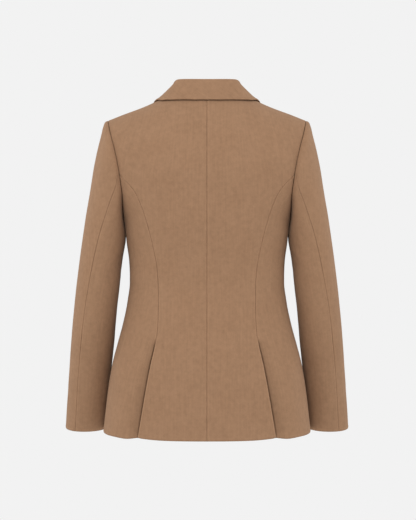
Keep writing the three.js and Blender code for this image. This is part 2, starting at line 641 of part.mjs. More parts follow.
function collarSection(k) {
  const row = collarRow(k);
  const neck = neckline(row.s);
  const seat = facing(overPoint, neck.x, neck.over * 100, bodyMiddle);
  const along0 = neckPoint(row.s + 0.05).sub(neckPoint(row.s - 0.05));
  const open = along0.cross(seat.normal).normalize();
  if (open.z < 0) open.negate();
  const fold = foldAt(k);
  const along = foldAt(k + 0.05).sub(foldAt(k - 0.05)).normalize();
  const flatOut = point(along.y, -along.x, 0).normalize();
  if (flatOut.x < 0 || (k === 0 && flatOut.y < 0)) flatOut.negate();
  const out = flatOut.lerp(seat.normal, row.flat);
  out.addScaledVector(along, -out.dot(along)).normalize();
  const up = along.clone().cross(out).normalize();
  if (up.z < 0) up.negate();
  const radius = lerp(3.1, LAPEL_FOLD, row.flat);
  const centre = fold.clone().addScaledVector(up, -radius);
  const foot = seat.point.clone().addScaledVector(out, -1.6).addScaledVector(open, STAND_SIT);
  const section = [];
  const standTop = centre.clone().addScaledVector(out, -radius);
  for (const share of [0, 0.5])
    section.push({ point: foot.clone().lerp(standTop, share), normal: out.clone().negate() });
  for (let i = 0; i <= FOLD_STEPS; i++) {
    const turn = Math.PI * (1 - i / FOLD_STEPS);
    const way = out.clone().multiplyScalar(Math.cos(turn)).addScaledVector(up, Math.sin(turn));
    section.push({ point: centre.clone().addScaledVector(way, radius), normal: way });
  }
  const edge = facing(overPoint, row.edge, row.over * 100, bodyMiddle);
  const end = edge.point.clone().addScaledVector(edge.normal, row.off);
  const start = centre.clone().addScaledVector(out, radius);
  const length = start.distanceTo(end);
  const chord = end.clone().sub(start).normalize();
  const straight = ease((k - 1) / 2.5);
  const leave = up.clone().negate().lerp(chord, straight);
  const drop = start.clone().addScaledVector(leave, length * 0.34);
  drop.addScaledVector(out, length * 0.12);
  const down = chord.addScaledVector(edge.normal, -chord.dot(edge.normal) * 0.6).normalize();
  const settle = end.clone().addScaledVector(down, -length * 0.36);
  const fall = new THREE.CubicBezierCurve3(start, drop, settle, end);
  for (let i = 1; i <= 6; i++) {
    const tangent = fall.getTangent(i / 6);
    const normal = tangent.clone().cross(along).normalize();
    if (normal.dot(out) + normal.dot(edge.normal) < 0) normal.negate();
    section.push({ point: fall.getPoint(i / 6), normal });
  }
  return section;
}
function collarPiece() {
  const half = steps([0, 8, COLLAR_END], [12, 2]).map(collarSection);
  const other = mirrored(half.slice(1)).reverse();
  return [...other, ...half];
}

// The button, with four holes and a dished middle
const BUTTON = { radius: 11.5, thick: 3.4, hole: 1.1, spread: 2.4, round: 0.8, shank: 0.95 };
function button() {
  const disc = new THREE.Shape();
  disc.absarc(0, 0, BUTTON.radius - BUTTON.round, 0, TURN);
  for (const [x, y] of [[1, 1], [-1, 1], [-1, -1], [1, -1]]) {
    const hole = new THREE.Path();
    hole.absarc(x * BUTTON.spread, y * BUTTON.spread, BUTTON.hole + BUTTON.round, 0, TURN, true);
    disc.holes.push(hole);
  }
  const shape = new THREE.ExtrudeGeometry(disc, {
    depth: BUTTON.thick - 2 * BUTTON.round,
    bevelThickness: BUTTON.round,
    bevelSize: BUTTON.round,
    bevelSegments: 2,
    curveSegments: 7,
  });
  return shape.translate(0, 0, BUTTON.round);
}

const cloth = () => new THREE.MeshStandardMaterial({ color: 0xa27e63, roughness: 0.95, metalness: 0 });
const horn = new THREE.MeshStandardMaterial({ color: 0x7a5a43, roughness: 0.45, metalness: 0 });

const jacket = new THREE.Group();
function add(name, geometry, material = cloth()) {
  const mesh = new THREE.Mesh(geometry, material);
  mesh.name = name;
  jacket.add(mesh);
  return mesh;
}

for (const [name, grid] of [
  ["back", backPanel()],
  ["side", sidePanel()],
  ["upper_sleeve", upperSleeve()],
  ["under_sleeve", underSleeve()],
]) {
  add(name + "_left", wall(grid));
  add(name + "_right", wall(mirrored(grid)));
}
add("front_left", wall(frontPanel(-1)));
add("front_right", wall(mirrored(frontPanel(1))));
add("lapel_left", wall(lapelPiece(-1)));
add("lapel_right", wall(mirrored(lapelPiece(1))));
add("collar", wall(collarPiece()));

// The button lies on the right front, in the middle
const seat = facing(frontFace(1), 0, BUTTON_HEIGHT, bodyMiddle);
const fastened = add("button", button(), horn);
fastened.position.copy(seat.point).addScaledVector(seat.normal, BUTTON.shank);
fastened.quaternion.setFromUnitVectors(point(0, 0, 1), seat.normal);

export default jacket;
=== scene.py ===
"""A fitted single-breasted jacket in the shape it has when worn, dressed in its cloth.

The cut is worked out in millimetres from the same sizes as the solids, and the meshes are made in metres.
"""

import math

import bpy
import numpy as np
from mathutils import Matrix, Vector


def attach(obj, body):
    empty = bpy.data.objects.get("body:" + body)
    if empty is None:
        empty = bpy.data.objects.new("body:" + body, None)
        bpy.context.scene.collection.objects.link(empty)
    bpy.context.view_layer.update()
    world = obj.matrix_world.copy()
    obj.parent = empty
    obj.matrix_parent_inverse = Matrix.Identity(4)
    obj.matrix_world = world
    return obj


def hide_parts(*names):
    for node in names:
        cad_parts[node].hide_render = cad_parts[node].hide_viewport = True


bl_info = {
    "name": "Fitted jacket",
    "version": (1, 0, 0),
    "blender": (4, 5, 0),
    "location": "3D View > Sidebar > Jacket",
    "description": "Cuts and dresses a fitted single-breasted jacket",
    "category": "Add Mesh",
}

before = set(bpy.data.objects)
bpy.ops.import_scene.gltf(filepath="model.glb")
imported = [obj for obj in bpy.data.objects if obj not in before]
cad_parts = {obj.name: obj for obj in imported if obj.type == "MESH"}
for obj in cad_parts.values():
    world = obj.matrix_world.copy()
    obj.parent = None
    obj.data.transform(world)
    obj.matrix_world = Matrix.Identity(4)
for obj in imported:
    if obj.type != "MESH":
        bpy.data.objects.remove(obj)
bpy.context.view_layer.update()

# Heights and widths of the cut
HEM = -648
VENT_TOP = -458
PRINCESS_TOP = -155
ARCH_FOOT = -150
UNDERARM = -243
SHOULDER_END = -45
NECK_HALF = 80
SHOULDER_HALF = 191.8
RIDGE_ROUND = 20
RIDGE_BACK = (12, 2)
RIDGE_SAG, SAG_MIDDLE, SAG_REACH = 2.4, 122, 34
SQUARENESS = 2.4
SCOOP_TOP = -187
OVERLAP = 20
BREAK = -318
BUTTON_HEIGHT = -345
HALF_SEAM = -0.03
WALL = 2
LAID_GAP = 0.6
LAYER = (WALL + 0.4) / 2
LAPEL_ROOM = 2.9
LIFT = (85, 25)


class Table:
    """A smooth curve through named columns that never overshoots its rows."""

    def __init__(self, names, *rows):
        data = np.array(rows, float)
        self.at = data[:, 0]
        self.step = np.diff(self.at)
        self.value, self.slope = {}, {}
        for name, column in zip(names.split()[1:], data[:, 1:].T):
            rise = np.diff(column) / self.step
            before, after = np.r_[rise[0], rise], np.r_[rise, rise[-1]]
            both = before * after
            mean = 2 * both / np.where(both > 0, before + after, 1)
            self.value[name] = column
            self.slope[name] = np.where(both > 0, mean, 0)

    def __call__(self, name, x):
        x = np.asarray(x, float)
        i = np.clip(np.searchsorted(self.at, x) - 1, 0, len(self.step) - 1)
        t = (x - self.at[i]) / self.step[i]
        a, b = self.value[name][i], self.value[name][i + 1]
        sa, sb = self.slope[name][i] * self.step[i], self.slope[name][i + 1] * self.step[i]
        inside = a + t * (sa + t * (3 * (b - a) - 2 * sa - sb + t * (sa + sb - 2 * (b - a))))
        return np.where(t < 0, a + sa * t, np.where(t > 1, b + sb * (t - 1), inside))


body_ring = Table(
    "z half back front",
    (-655, 201.8, 137, 124),
    (-606, 196.8, 130, 121),
    (-560, 191.2, 123, 117.5),
    (-520, 184.6, 115, 113.5),
    (-480, 174.6, 105, 108),
    (-440, 163.8, 95, 102),
    (-400, 155.4, 87, 97),
    (-355, 150.2, 82, 94),
    (-320, 151.4, 84, 98),
    (-285, 156, 89, 107),
    (-243, 161, 97, 114),
    (-215, 172, 101, 112),
    (-187, 186, 104, 107),
    (-150, 197, 108, 98),
    (-100, 208, 108, 88),
    (-46, 216, 106, 80),
    (40, 222, 104, 74),
)
long_seam = Table(
    "z back front",
    (-655, 130.2, 126),
    (-600, 121.3, 118),
    (-550, 112.7, 110),
    (-511, 105.4, 102.5),
    (-482, 98.7, 97),
    (-458, 94, 92.5),
    (-418, 91.6, 86.5),
    (-379, 91.8, 83),
    (-336, 94, 83.5),
    (-290, 102.2, 88),
    (-259, 109.7, 95),
    (-232, 117.5, 106),
    (-205, 127.5, 121),
    (-185, 137.7, 135),
    (-155, 165.8, 162),
)
armhole_edge = Table(
    "z back front",
    (-187, 161.3, 160.5),
    (-165, 164.3, 161.2),
    (-142, 168, 163.5),
    (-106, 175.8, 171.5),
    (-73, 185, 183),
    (SHOULDER_END, SHOULDER_HALF, SHOULDER_HALF),
)
# over is the place on the shoulder's arch: 0 on the shoulder seam, 1 at its foot behind, -1 in front
neckline = Table(
    "s x over",
    (0, 0, 0.402),
    (1, 24, 0.375),
    (2, 45, 0.315),
    (3, 62, 0.232),
    (4, 74, 0.132),
    (5, NECK_HALF, 0),
    (6, 79.5, -0.15),
    (7, 74.5, -0.33),
    (8, 66.5, -0.48),
    (9, 58, -0.577),
)
NECK_POINT = 5
GORGE = 9
front_edge = Table(
    "z x",
    (-648, 70),
    (-645, 47),
    (-636, 27),
    (-620, 8),
    (-594, -6),
    (-555, -15),
    (-500, -19.5),
    (-430, -OVERLAP),
    (-318, -OVERLAP),
)
lapel_edge = Table(
    "s x z",
    (0, -18.4, -319.8),
    (0.15, 12, -303),
    (0.35, 55, -262),
    (0.6, 99, -198),
    (0.82, 125, -142),
    (1, 135, -101.5),
)
collar_row = Table(
    "k s foldX foldY foldZ edge over off flat",
    (0, 0, 0, 61, 27.2, 0, 0.4475, 4.6, 0),
    (0.5, 0.65, 15.2, 60.2, 27.4, 18.2, 0.432, 4.6, 0),
    (1, 1.3, 30, 57.5, 27.9, 36, 0.3985, 4.6, 0),
    (1.5, 1.9, 44.2, 51.6, 28.8, 51.8, 0.3605, 4.5, 0),
    (2, 2.5, 54.6, 43, 29.6, 66, 0.3175, 4.3, 0),
    (2.5, 3.1, 59.6, 33.9, 28.5, 76, 0.276, 4.1, 0),
    (3, 3.7, 62.2, 24, 26.3, 84.4, 0.237, 3.8, 0),
    (4, 4.8, 66.8, 3, 20.5, 94, 0.12, 3.2, 0.08),
    (5, 6, 70, -18, 9, 103, -0.07, 2.9, 0.3),
    (6, 7.3, 69.5, -37, -10, 112, -0.28, 2.9, 0.6),
    (7, 8.3, 64, -50.5, -29.5, 118.5, -0.43, 2.9, 0.85),
    (8, 8.6, 61, -55.7, -38.6, 121, -0.5, 2.9, 0.95),
    (9, 8.78, 57.9, -60.4, -47.9, 100, -0.662, 2.9, 1),
)
COLLAR_END = 9
COLLAR_FOLD = 3.1
sleeve_ring = Table(
    "k outX outZ inX inZ back front forward seat seam",
    (0, 191.8, -45, 161, -243, 68, 64, 0, 1, 94.5),
    (1, 195.4, -46.2, 161.9, -244.5, 72, 66, 0, 0.86, 97.7),
    (2, 199.3, -49.5, 161.4, -247, 74, 67, 0, 0.7, 101),
    (3, 202.7, -57.5, 160.6, -250.5, 74.5, 67, 0, 0.55, 102.7),
    (4, 206.5, -73, 159.8, -255, 74, 66.5, 0, 0.4, 102.2),
    (5, 212.8, -97.5, 159, -261, 72.5, 65.5, 0, 0.25, 100.2),
    (6, 220.6, -135, 158.4, -269, 70, 64, 0, 0.12, 96.6),
    (7, 228.8, -185, 158.8, -278, 67, 62.5, 0, 0.04, 91.2),
    (8, 237.6, -238, 160.8, -290, 64, 61, 1, 0, 85),
    (9, 246.6, -300, 165.4, -318, 60, 58.5, 2, 0, 78),
    (10, 254, -357, 170.2, -364, 56.5, 56, 3, 0, 72),
    (11, 260.6, -412, 176.6, -416, 54, 53.5, 7, 0, 68),
    (12, 267, -473, 182.6, -476, 51, 50, 17, 0, 64.5),
    (13, 272.5, -533, 189, -535, 48, 46.5, 29, 0, 63.5),
    (14, 277.9, -593, 194, -594, 45, 43.5, 41, 0, 63.5),
    (15, 282.4, -650, 198.4, -650, 43, 42, 51, 0, 63.5),
)
CUFF = 15
CUFF_DROP = 2.6
OUTER_TRIM = 0.9
SLEEVE_FRONT_SEAM = math.radians(-122)
SLEEVE_CLEAR = 0.12
SEAT_DEPTH, SEAT_WIDTH = 0.6, 0.55
HEAD_SHARE, HEAD_POWER = 0.42, 2.1
# The sleeve's half width, where its seams' gap is measured and where its creases are
SEAM_RADIUS, CREASE_RADIUS = 42, 52

# The vents
UNDERLAP_WIDTH, UNDERLAP_FALL, UNDERLAP_SINK, SINK_BLEND, SINK_RAMP = 36, 0.42, 5.5, 24, 24
VENT_DENT, VENT_SPREAD, VENT_LIFT, HEM_RISE, HEM_SPREAD = 11, 36, 6.5, 1.5, 20
VENT_START = 8
LAP_TOP = -482
TURN_FROM, TURN_IN, TURN_WIDTH, TURN_BEHIND, TURN_RAMP = 0.6, 11, 2, 13, 50
TURN_SOFT, TURN_SOFT_WIDTH = 2.2, 6.5
# Painted shade in the vent's fold: its share at the vent's top, growing to full at the hem, and its width
FOLD_SHADE, FOLD_SHADE_WIDTH = 0.3, 3.2
CORNER_ROUND = 3.4
SIDE_DROP, SIDE_DROP_AT, SIDE_DROP_SPREAD = 2.4, 148, 20
# The fold behind the underarm
ARM_FOLD, ARM_FOLD_TOP = 7, -180


def clamp01(t):
    return np.clip(t, 0, 1)


def ease(t):
    t = clamp01(t)
    return t * t * (3 - 2 * t)


def bump(t):
    return np.exp(-t * t)


def fade(share, reach):
    return ease(1 - (1 - share) / reach) if reach < 1 else share


def points(x, y, z):
    return np.stack(np.broadcast_arrays(x, y, z), -1).astype(float)


def unit(v):
    return v / np.maximum(np.linalg.norm(v, axis=-1, keepdims=True), 1e-9)


def dot(a, b):
    return (a * b).sum(-1, keepdims=True)


# The shoulder
def softly(x):
    return np.hypot(x, RIDGE_ROUND)


RIDGE_SLOPE = -SHOULDER_END / (softly(SHOULDER_HALF) - softly(NECK_HALF))


def ridge_height(x):
    sag = RIDGE_SAG * bump((np.abs(x) - SAG_MIDDLE) / SAG_REACH)
    return -RIDGE_SLOPE * (softly(x) - softly(NECK_HALF)) - sag


def ridge_back(x):
    share = (np.abs(x) - NECK_HALF) / (SHOULDER_HALF - NECK_HALF)
    return RIDGE_BACK[0] + (RIDGE_BACK[1] - RIDGE_BACK[0]) * share


def level_over(over):
    return ARCH_FOOT * np.abs(over)


def arch_turn(level):
    return clamp01(1 - level / ARCH_FOOT) * math.pi / 2


def height_at(x, level):
    up = ARCH_FOOT + (ridge_height(x) - ARCH_FOOT) * np.sin(arch_turn(level))
    return np.where(level <= ARCH_FOOT, level, up)


def level_at(x, z):
    share = np.arcsin(clamp01((z - ARCH_FOOT) / (ridge_height(x) - ARCH_FOOT))) / (math.pi / 2)
    return np.where(z <= ARCH_FOOT, z, ARCH_FOOT * (1 - share))


def vent_share(z):
    return ease((VENT_TOP - z) / (VENT_TOP - HEM))


def vent_dip(x, z):
    return -VENT_DENT * vent_share(z) * bump((np.abs(x) - long_seam("back", z)) / VENT_SPREAD)


def hem_at(x):
    return HEM + HEM_RISE * bump((x - long_seam("back", HEM)) / HEM_SPREAD)


def side_hem(x):
    return hem_at(x) - SIDE_DROP * bump((x - SIDE_DROP_AT) / SIDE_DROP_SPREAD)


def body_point(side, x, level):
    z = height_at(x, level)
    across = np.minimum(1, np.abs(x) / body_ring("half", z))
    full = (1 - across**SQUARENESS) ** (1 / SQUARENESS) * body_ring(side, z)
    y = full + vent_dip(x, z) if side == "back" else -full
    lean = np.where(level <= ARCH_FOOT, 1, np.cos(arch_turn(level)))
    return points(x, ridge_back(x) + (y - ridge_back(x)) * lean, z)


def ring_point(angle, z):
    c, s = np.cos(angle), np.sin(angle)
    x = body_ring("half", z) * np.abs(c) ** (2 / SQUARENESS)
    out = np.abs(s) ** (2 / SQUARENESS)
    behind = out * body_ring("back", z) + vent_dip(x, z) * ease(s * 3)
    return points(x, np.where(s > 0, behind, -out * body_ring("front", z)), z)


def ring_normal(p):
    def steep(length, half):
        return np.abs(length / half) ** (SQUARENESS - 1) / half

    z = p[..., 2]
    sideways = steep(p[..., 0], body_ring("half", z))
    backward = steep(p[..., 1], body_ring("back", z)) * np.sign(p[..., 1])
    return unit(points(sideways, backward, 0 * z))


def ring_angle(x, z):
    return np.arccos(clamp01(x / body_ring("half", z)) ** (SQUARENESS / 2))


ARMHOLE_MIDDLE = (SHOULDER_END + UNDERARM) / 2
ARMHOLE_HALF = (SHOULDER_END - UNDERARM) / 2


def armhole_height(turn):
    return ARMHOLE_MIDDLE + ARMHOLE_HALF * np.cos(turn)


def scoop_angle(side, z):
    share = clamp01((SCOOP_TOP - z) / (SCOOP_TOP - UNDERARM))
    start = armhole_edge(side, SCOOP_TOP)
    return ring_angle(start + (body_ring("half", UNDERARM) - start) * share, z)


def armhole_point(turn):
    z = armhole_height(turn)
    found = []
    for side, sign in (("back", 1), ("front", -1)):
        x = armhole_edge(side, z)
        upper = body_point(side, x, level_at(x, z))
        lower = ring_point(sign * scoop_angle(side, z), z)
        found.append(np.where((z < SCOOP_TOP)[..., None], lower, upper))
    return np.where((np.sin(turn) >= 0)[..., None], *found)


def armhole_at(side, level):
    x = armhole_edge(side, height_at(SHOULDER_HALF, level))
    for _ in range(12):
        x = armhole_edge(side, height_at(x, level))
    return x


def arm_fold(p, d, width=3.4):
    """Behind the underarm the sleeve and the side panel fold deep in along their seam."""
    z = p[..., 2]
    share = ease((ARM_FOLD_TOP - z) / 50) * ease((z - UNDERARM) / 10) * ease(p[..., 1] / 25)
    return bump(d / width) * share


def away_from_body(p):
    return p - points(p[..., 0] * 0.45, 0, np.minimum(p[..., 2], ARCH_FOOT))


def facing(surface, a, b, step=0.05):
    """The points of a surface and the way that its outer side looks there."""
    along = surface(a + step, b) - surface(a - step, b)
    up = surface(a, b + 0.05) - surface(a, b - 0.05)
    here = surface(a, b)
    normal = unit(np.cross(along, up))
    return here, normal * np.where(dot(normal, away_from_body(here)) < 0, -1, 1)


def spread(length, fine=3.0, ends=(True, True)):
    """Shares from 0 to 1 of a length, close together at a seam or an edge."""
    near = np.array([0, 0.4, 0.9, 1.5, 2.3, 3.4, 5.0, 7.0])
    first = near if ends[0] else near[:1]
    last = near if ends[1] else near[:1]
    count = max(2, int((length - first[-1] - last[-1]) / fine))
    middle = np.linspace(first[-1], length - last[-1], count + 1)[1:-1]
    return np.r_[first, middle, length - last[::-1]] / length


def patch(left, right, bottom, top, across, up, reach=1):
    """Places on a surface, in its own two coordinates, between four edges."""

    def bow(edge):
        ends = edge(np.array([0.0, 1.0]))
        return edge(across) - ends[0] - (ends[1] - ends[0]) * across[:, None]

    u, v = across[None, :, None], up[:, None, None]
    place = left(up)[:, None] * (1 - u) + right(up)[:, None] * u
    return place + bow(bottom)[None] * fade(1 - v, reach) + bow(top)[None] * fade(v, reach)


def pair(a, b):
    return np.stack(np.broadcast_arrays(a, b), -1).astype(float)


def grid_normal(p, outward):
    normal = unit(np.cross(np.gradient(p, axis=1), np.gradient(p, axis=0)))
    return normal * (1 if (dot(normal, outward) > 0).mean() > 0.5 else -1)


def lengths(p):
    """How far each point lies along its row and along its column."""
    rows = np.linalg.norm(np.diff(p, axis=1), axis=2)
    columns = np.linalg.norm(np.diff(p, axis=0), axis=2)
    along = np.concatenate([np.zeros((len(p), 1)), rows.cumsum(1)], 1)
    up = np.concatenate([np.zeros((1, p.shape[1])), columns.cumsum(0)], 0)
    return along, up


def from_edges(p):
    """How far each point lies along the cloth from the first, last, lower and upper edge."""
    along, up = lengths(p)
    return along, along[:, -1:] - along, up, up[-1:] - up


SEAM_DEPTH, SEAM_WIDTH = 0.85, 0.52
TURNING_AT, TURNING_WIDTH = 2.4, 1.1
SWELL, SWELL_AT, SWELL_WIDTH = 0.08, 6, 2.4


def seam_dip(d, ridge=0.16):
    """A seam pulls the cloth in, and the turnings beneath lift it a little beside the seam."""
    beside = ridge * bump((d - TURNING_AT) / TURNING_WIDTH) + SWELL * bump((d - SWELL_AT) / SWELL_WIDTH)
    return -SEAM_DEPTH * bump(d / SEAM_WIDTH) + beside


def folded_edge(d, depth=0.9, round_over=3.0):
    """An edge turned under rounds over."""
    return -depth * (1 - np.sqrt(1 - (1 - clamp01(d / round_over)) ** 2))


def turned_up(d):
    """A hem: its lower edge rounds over, and the cloth stands up a little above it."""
    return folded_edge(d, 1.2, 3.0) + 0.3 * bump((d - 4.5) / 2.2)


# Creases, each a soft trough or ridge: its middle across and up, its slope in degrees, its half length,
# its half width and its height
CREASES = {
    "back": (
        (89, -467, 28, 9, 1.7, -0.8),
        (88, -471.5, 30, 10, 2.2, 0.45),
        (74, -474, 14, 9, 3, -0.2),
        (150, -128, -72, 42, 9, 0.9),
        (138, -150, -66, 36, 8, -0.7),
        (118, -172, -58, 38, 11, 0.5),
        (58, -352, 9, 42, 8, -0.55),
        (66, -371, -6, 34, 7, 0.45),
        (40, -330, -4, 46, 10, 0.35),
        (24, -52, 14, 30, 10, 0.3),
        (96, -560, 78, 60, 12, 0.55),
        (34, -585, 88, 58, 16, -0.5),
        (110, -70, -24, 48, 13, -0.4),
    ),
    "side": (
        (128, -330, 6, 30, 7, -0.7),
        (133, -352, -4, 34, 6, 0.6),
        (126, -372, 9, 28, 7, -0.55),
        (150, -262, 24, 22, 6, 0.5),
        (160, -560, 84, 60, 11, 0.8),
        (182, -540, 80, 52, 9, -0.7),
        (140, -600, 86, 40, 9, -0.5),
    ),
    "front": (
        (52, -352, 16, 44, 8, -0.9),
        (58, -372, 4, 40, 7, 0.7),
        (50, -330, 28, 36, 8, 0.6),
        (140, -120, 70, 46, 9, 0.8),
        (128, -146, 64, 34, 9, -0.6),
        (70, -560, 84, 60, 14, 0.5),
        (96, -210, -52, 34, 12, 0.5),
    ),
}
# The sleeve's creases: the turn round the sleeve and the height, then as above
SLEEVE_CREASES = (
    (-85, -372, 12, 30, 6, -1.5),
    (-78, -390, -8, 34, 7, 1.2),
    (-90, -408, 10, 27, 6, -1.2),
    (-70, -428, -14, 26, 7, 0.7),
    (-100, -350, 20, 24, 7, 0.8),
    (92, -262, 60, 34, 8, 0.8),
    (104, -285, 52, 30, 7, -0.7),
    (58, -352, 28, 30, 9, -0.5),
    (70, -470, 22, 32, 9, 0.5),
    (30, -560, 40, 36, 10, -0.5),
    (150, -300, 30, 26, 7, 0.8),
    (165, -330, -24, 24, 7, -0.8),
    (-30, -520, -60, 40, 11, 0.5),
    (10, -180, 75, 44, 13, -0.5),
)


def crease_height(x, z, rows):
    total = 0 * x
    for across, up, slope, reach, width, height in rows:
        c, s = math.cos(math.radians(slope)), math.sin(math.radians(slope))
        dx, dz = x - across, z - up
        along, off = dx * c + dz * s, dz * c - dx * s
        total = total + height * bump(off / width) * np.exp(-((along / reach) ** 4))
    return total


def unevenness(p, seed, height=0.22):
    """The slight unevenness of ironed cloth, from a few long waves."""
    draw = np.random.RandomState(seed)
    total = 0
    for wave in (150, 95, 62, 44, 31):
        for _ in range(3):
            way = draw.normal(size=3)
            way *= 2 * math.pi / wave / np.linalg.norm(way)
            total = total + np.sin(p @ way + draw.uniform(0, 6.28)) * (wave / 150) ** 0.7
    return height * total / 3


def relief(p, normal, height):
    return p + normal * height[..., None]


# The cloth is calm this far above a hem
CALM = 20
# How far an edge swells out where it is free or sewn, and how much painted shade darkens the underside of
# a free one
FREE, HELD = 0.9, 0.05
EDGE_SHADE = 0.35


# Mesh making
def placed(name, data):
    """An object of its own in the scene."""
    item = bpy.data.objects.new(name, data)
    bpy.context.scene.collection.objects.link(item)
    return item


def make_piece(name, mesh_parts, material):
    verts, faces, uvs, *pressed = mesh_parts
    mesh = bpy.data.meshes.new(name)
    mesh.from_pydata((verts * 0.001).tolist(), [], faces)
    mesh.materials.append(material)
    mesh.polygons.foreach_set("use_smooth", np.ones(len(mesh.polygons), bool))
    # The per-point attribute of painted light: painted highlight where positive, painted shade where
    # negative
    if pressed:
        share = mesh.attributes.new("pressed", "FLOAT", "POINT")
        share.data.foreach_set("value", pressed[0].astype(np.float32))
    if uvs is not None:
        layer = mesh.uv_layers.new(name="grain")
        loop_vertex = np.empty(len(mesh.loops), int)
        mesh.loops.foreach_get("vertex_index", loop_vertex)
        layer.uv.foreach_set("vector", (uvs[loop_vertex] * 0.001).astype(np.float32).ravel())
    mesh.update()
    return placed(name, mesh)


def cloth_wall(made, wall=WALL, mirror=False):
    """A closed wall of cloth. free says how far the edge may round outward at each point."""
    p, free, cells, normal, grain, pressed = made
    rows, columns = p.shape[:2]
    number = np.arange(rows * columns).reshape(rows, columns)
    corners = (number[:-1, :-1], number[:-1, 1:], number[1:, 1:], number[1:, :-1])
    quads = np.stack(corners, -1)
    quads = quads.reshape(-1, 4) if cells is None else quads[cells]
    across = np.cross(np.gradient(p, axis=1), np.gradient(p, axis=0))
    if (dot(across, normal) > 0).mean() < 0.5:
        quads = quads[:, ::-1]
    used = np.unique(quads)
    fresh = np.full(rows * columns, -1)
    fresh[used] = np.arange(len(used))
    quads = fresh[quads]
    outer, facing_out = p.reshape(-1, 3)[used], normal.reshape(-1, 3)[used]
    free = np.broadcast_to(free, p.shape[:2]).reshape(-1)[used]
    uv, pressed = grain.reshape(-1, 2)[used], pressed.reshape(-1)[used]
    inner = outer - facing_out * wall
    count = len(used)
    edges = np.concatenate([quads[:, [k, (k + 1) % 4]] for k in range(4)])
    rim = edges[~np.isin(edges[:, 0] * count + edges[:, 1], edges[:, 1] * count + edges[:, 0])]
    ring = np.unique(rim)
    place = np.full(count, -1)
    place[ring] = np.arange(len(ring))
    a, b = rim.T
    out = unit(np.cross(outer[b] - outer[a], facing_out[a] + facing_out[b]))
    swell = np.zeros((count, 3))
    np.add.at(swell, a, out)
    np.add.at(swell, b, out)
    swell = (unit(swell) * free[:, None])[ring]
    middle, half = (outer[ring] + inner[ring]) / 2, (outer[ring] - inner[ring]) / 2
    loops, verts, uvs = [(a, b)], [outer, inner], [uv, uv]
    shares = [pressed, 0 * pressed]
    start = 2 * count
    for turn in (math.pi / 4, math.pi / 2, math.pi * 3 / 4):
        verts.append(middle + half * math.cos(turn) + swell * math.sin(turn))
        uvs.append(uv[ring])
        # The rim carries the painted light of its edge, and a free edge's rim gets painted shade
        shares.append(pressed[ring] - EDGE_SHADE * (free[ring] > 0.45))
        loops.append((place[a] + start, place[b] + start))
        start += len(ring)
    loops.append((a + count, b + count))
    faces = [quads, quads[:, ::-1] + count]
    for (p1, q1), (p2, q2) in zip(loops, loops[1:]):
        faces.append(np.stack([q1, p1, p2, q2], -1))
    verts, faces, uvs = np.concatenate(verts), np.concatenate(faces), np.concatenate(uvs)
    if mirror:
        verts = verts * (-1, 1, 1)
        faces = faces[:, ::-1]
    return verts, faces.tolist(), uvs, np.concatenate(shares)


def highlight_beside(d, at=2.0, width=1.0):
    """How strongly a painted highlight lightens the cloth beside a seam or along an edge."""
    return bump((d - at) / width) * (d > 0)


def highlight_above_hem(d):
    """A painted highlight a little above a hem's edge."""
    return highlight_beside(d, 4, 1.6)


def edge_freedom(p, left=HELD, right=HELD, bottom=HELD, top=HELD):
    free = np.full(p.shape[:2], HELD)
    free[:, 0], free[:, -1] = left, right
    free[0], free[-1] = bottom, top
    return free


# The panels
def outer_seam(side, level, v):
    """The outer edge of a back or front: the long seam, and the armhole above it."""
    x = np.where(level <= PRINCESS_TOP, long_seam(side, level), armhole_at(side, level))
    return pair(x - HALF_SEAM, level - HALF_SEAM * v)


def rise(v):
    return HEM * (1 - v)


def in_vent(z):
    return ease((VENT_TOP - z) / VENT_START)


def back_panel(ridge, right):
    neck_level = float(level_over(neckline("over", 0)))
    reach = 0.3

    def hem_edge(u):
        x = HALF_SEAM + (long_seam("back", HEM) - 2 * HALF_SEAM) * u
        return pair(x, hem_at(x))

    def outer_edge(v):
        level = rise(v) + (hem_at(long_seam("back", HEM)) - HEM) * fade(1 - v, reach)
        return outer_seam("back", level, v)

    def centre(v):
        return pair(HALF_SEAM, rise(v) + (hem_at(0) - HEM) * (1 - v) + neck_level * fade(v, reach))

    s = np.linspace(0, NECK_POINT, 200)

    def top(u):
        x = HALF_SEAM + (SHOULDER_HALF - 2 * HALF_SEAM) * u
        over = np.interp(x, neckline("x", s), neckline("over", s), right=0)
        return pair(x, np.minimum(level_over(over), -HALF_SEAM))

    place = patch(centre, outer_edge, hem_edge, top, spread(115, 2.6), spread(650, 4.2), reach)
    x, level = place[..., 0], place[..., 1]
    p = body_point("back", x, level)
    lift = VENT_LIFT * vent_share(p[..., 2])
    beside = x - long_seam("back", np.minimum(p[..., 2], PRINCESS_TOP))
    p[..., 1] += lift * bump(beside / (SINK_BLEND + 3))
    normal = grid_normal(p, away_from_body(p))
    along, outer, up, below = from_edges(p)
    z = p[..., 2]
    vent = in_vent(z)
    streak = 0.3 * bump((along - 5.5) / 1.2) * (0.35 + 0.65 * ease((z + 330) / 220))
    height = seam_dip(along, ridge) + streak
    height = height + seam_dip(outer, 0.3) * (1 - vent)
    height = height + vent * (folded_edge(outer, 0.7, 1.0) + 0.75 * bump((outer - 2.5) / 1.7))
    height = height + turned_up(up) + seam_dip(below)
    height = height + crease_height(x, z, CREASES["back"]) * ease(outer / 4) * ease(along / 10)
    p = relief(p, normal, height + unevenness(p, 3) * ease(up / CALM))
    # The lower corner at the vent is a little rounded
    p = p + (-0.8, 0, 1.4) * bump((outer + up) / CORNER_ROUND)[..., None]
    free = edge_freedom(p, bottom=FREE)
    free[:, -1] = HELD + 0.45 * vent[:, -1]
    # Painted highlight beside the centre seam on the right half, along the long seam and more along the
    # vent's edge, and above the hem
    pressed = highlight_beside(along) * right + highlight_beside(outer, 1.6) * (0.9 + 1.5 * vent)
    pressed = pressed + 0.5 * highlight_above_hem(up)
    return p, free, None, grid_normal(p, away_from_body(p)), pair(along, z), pressed


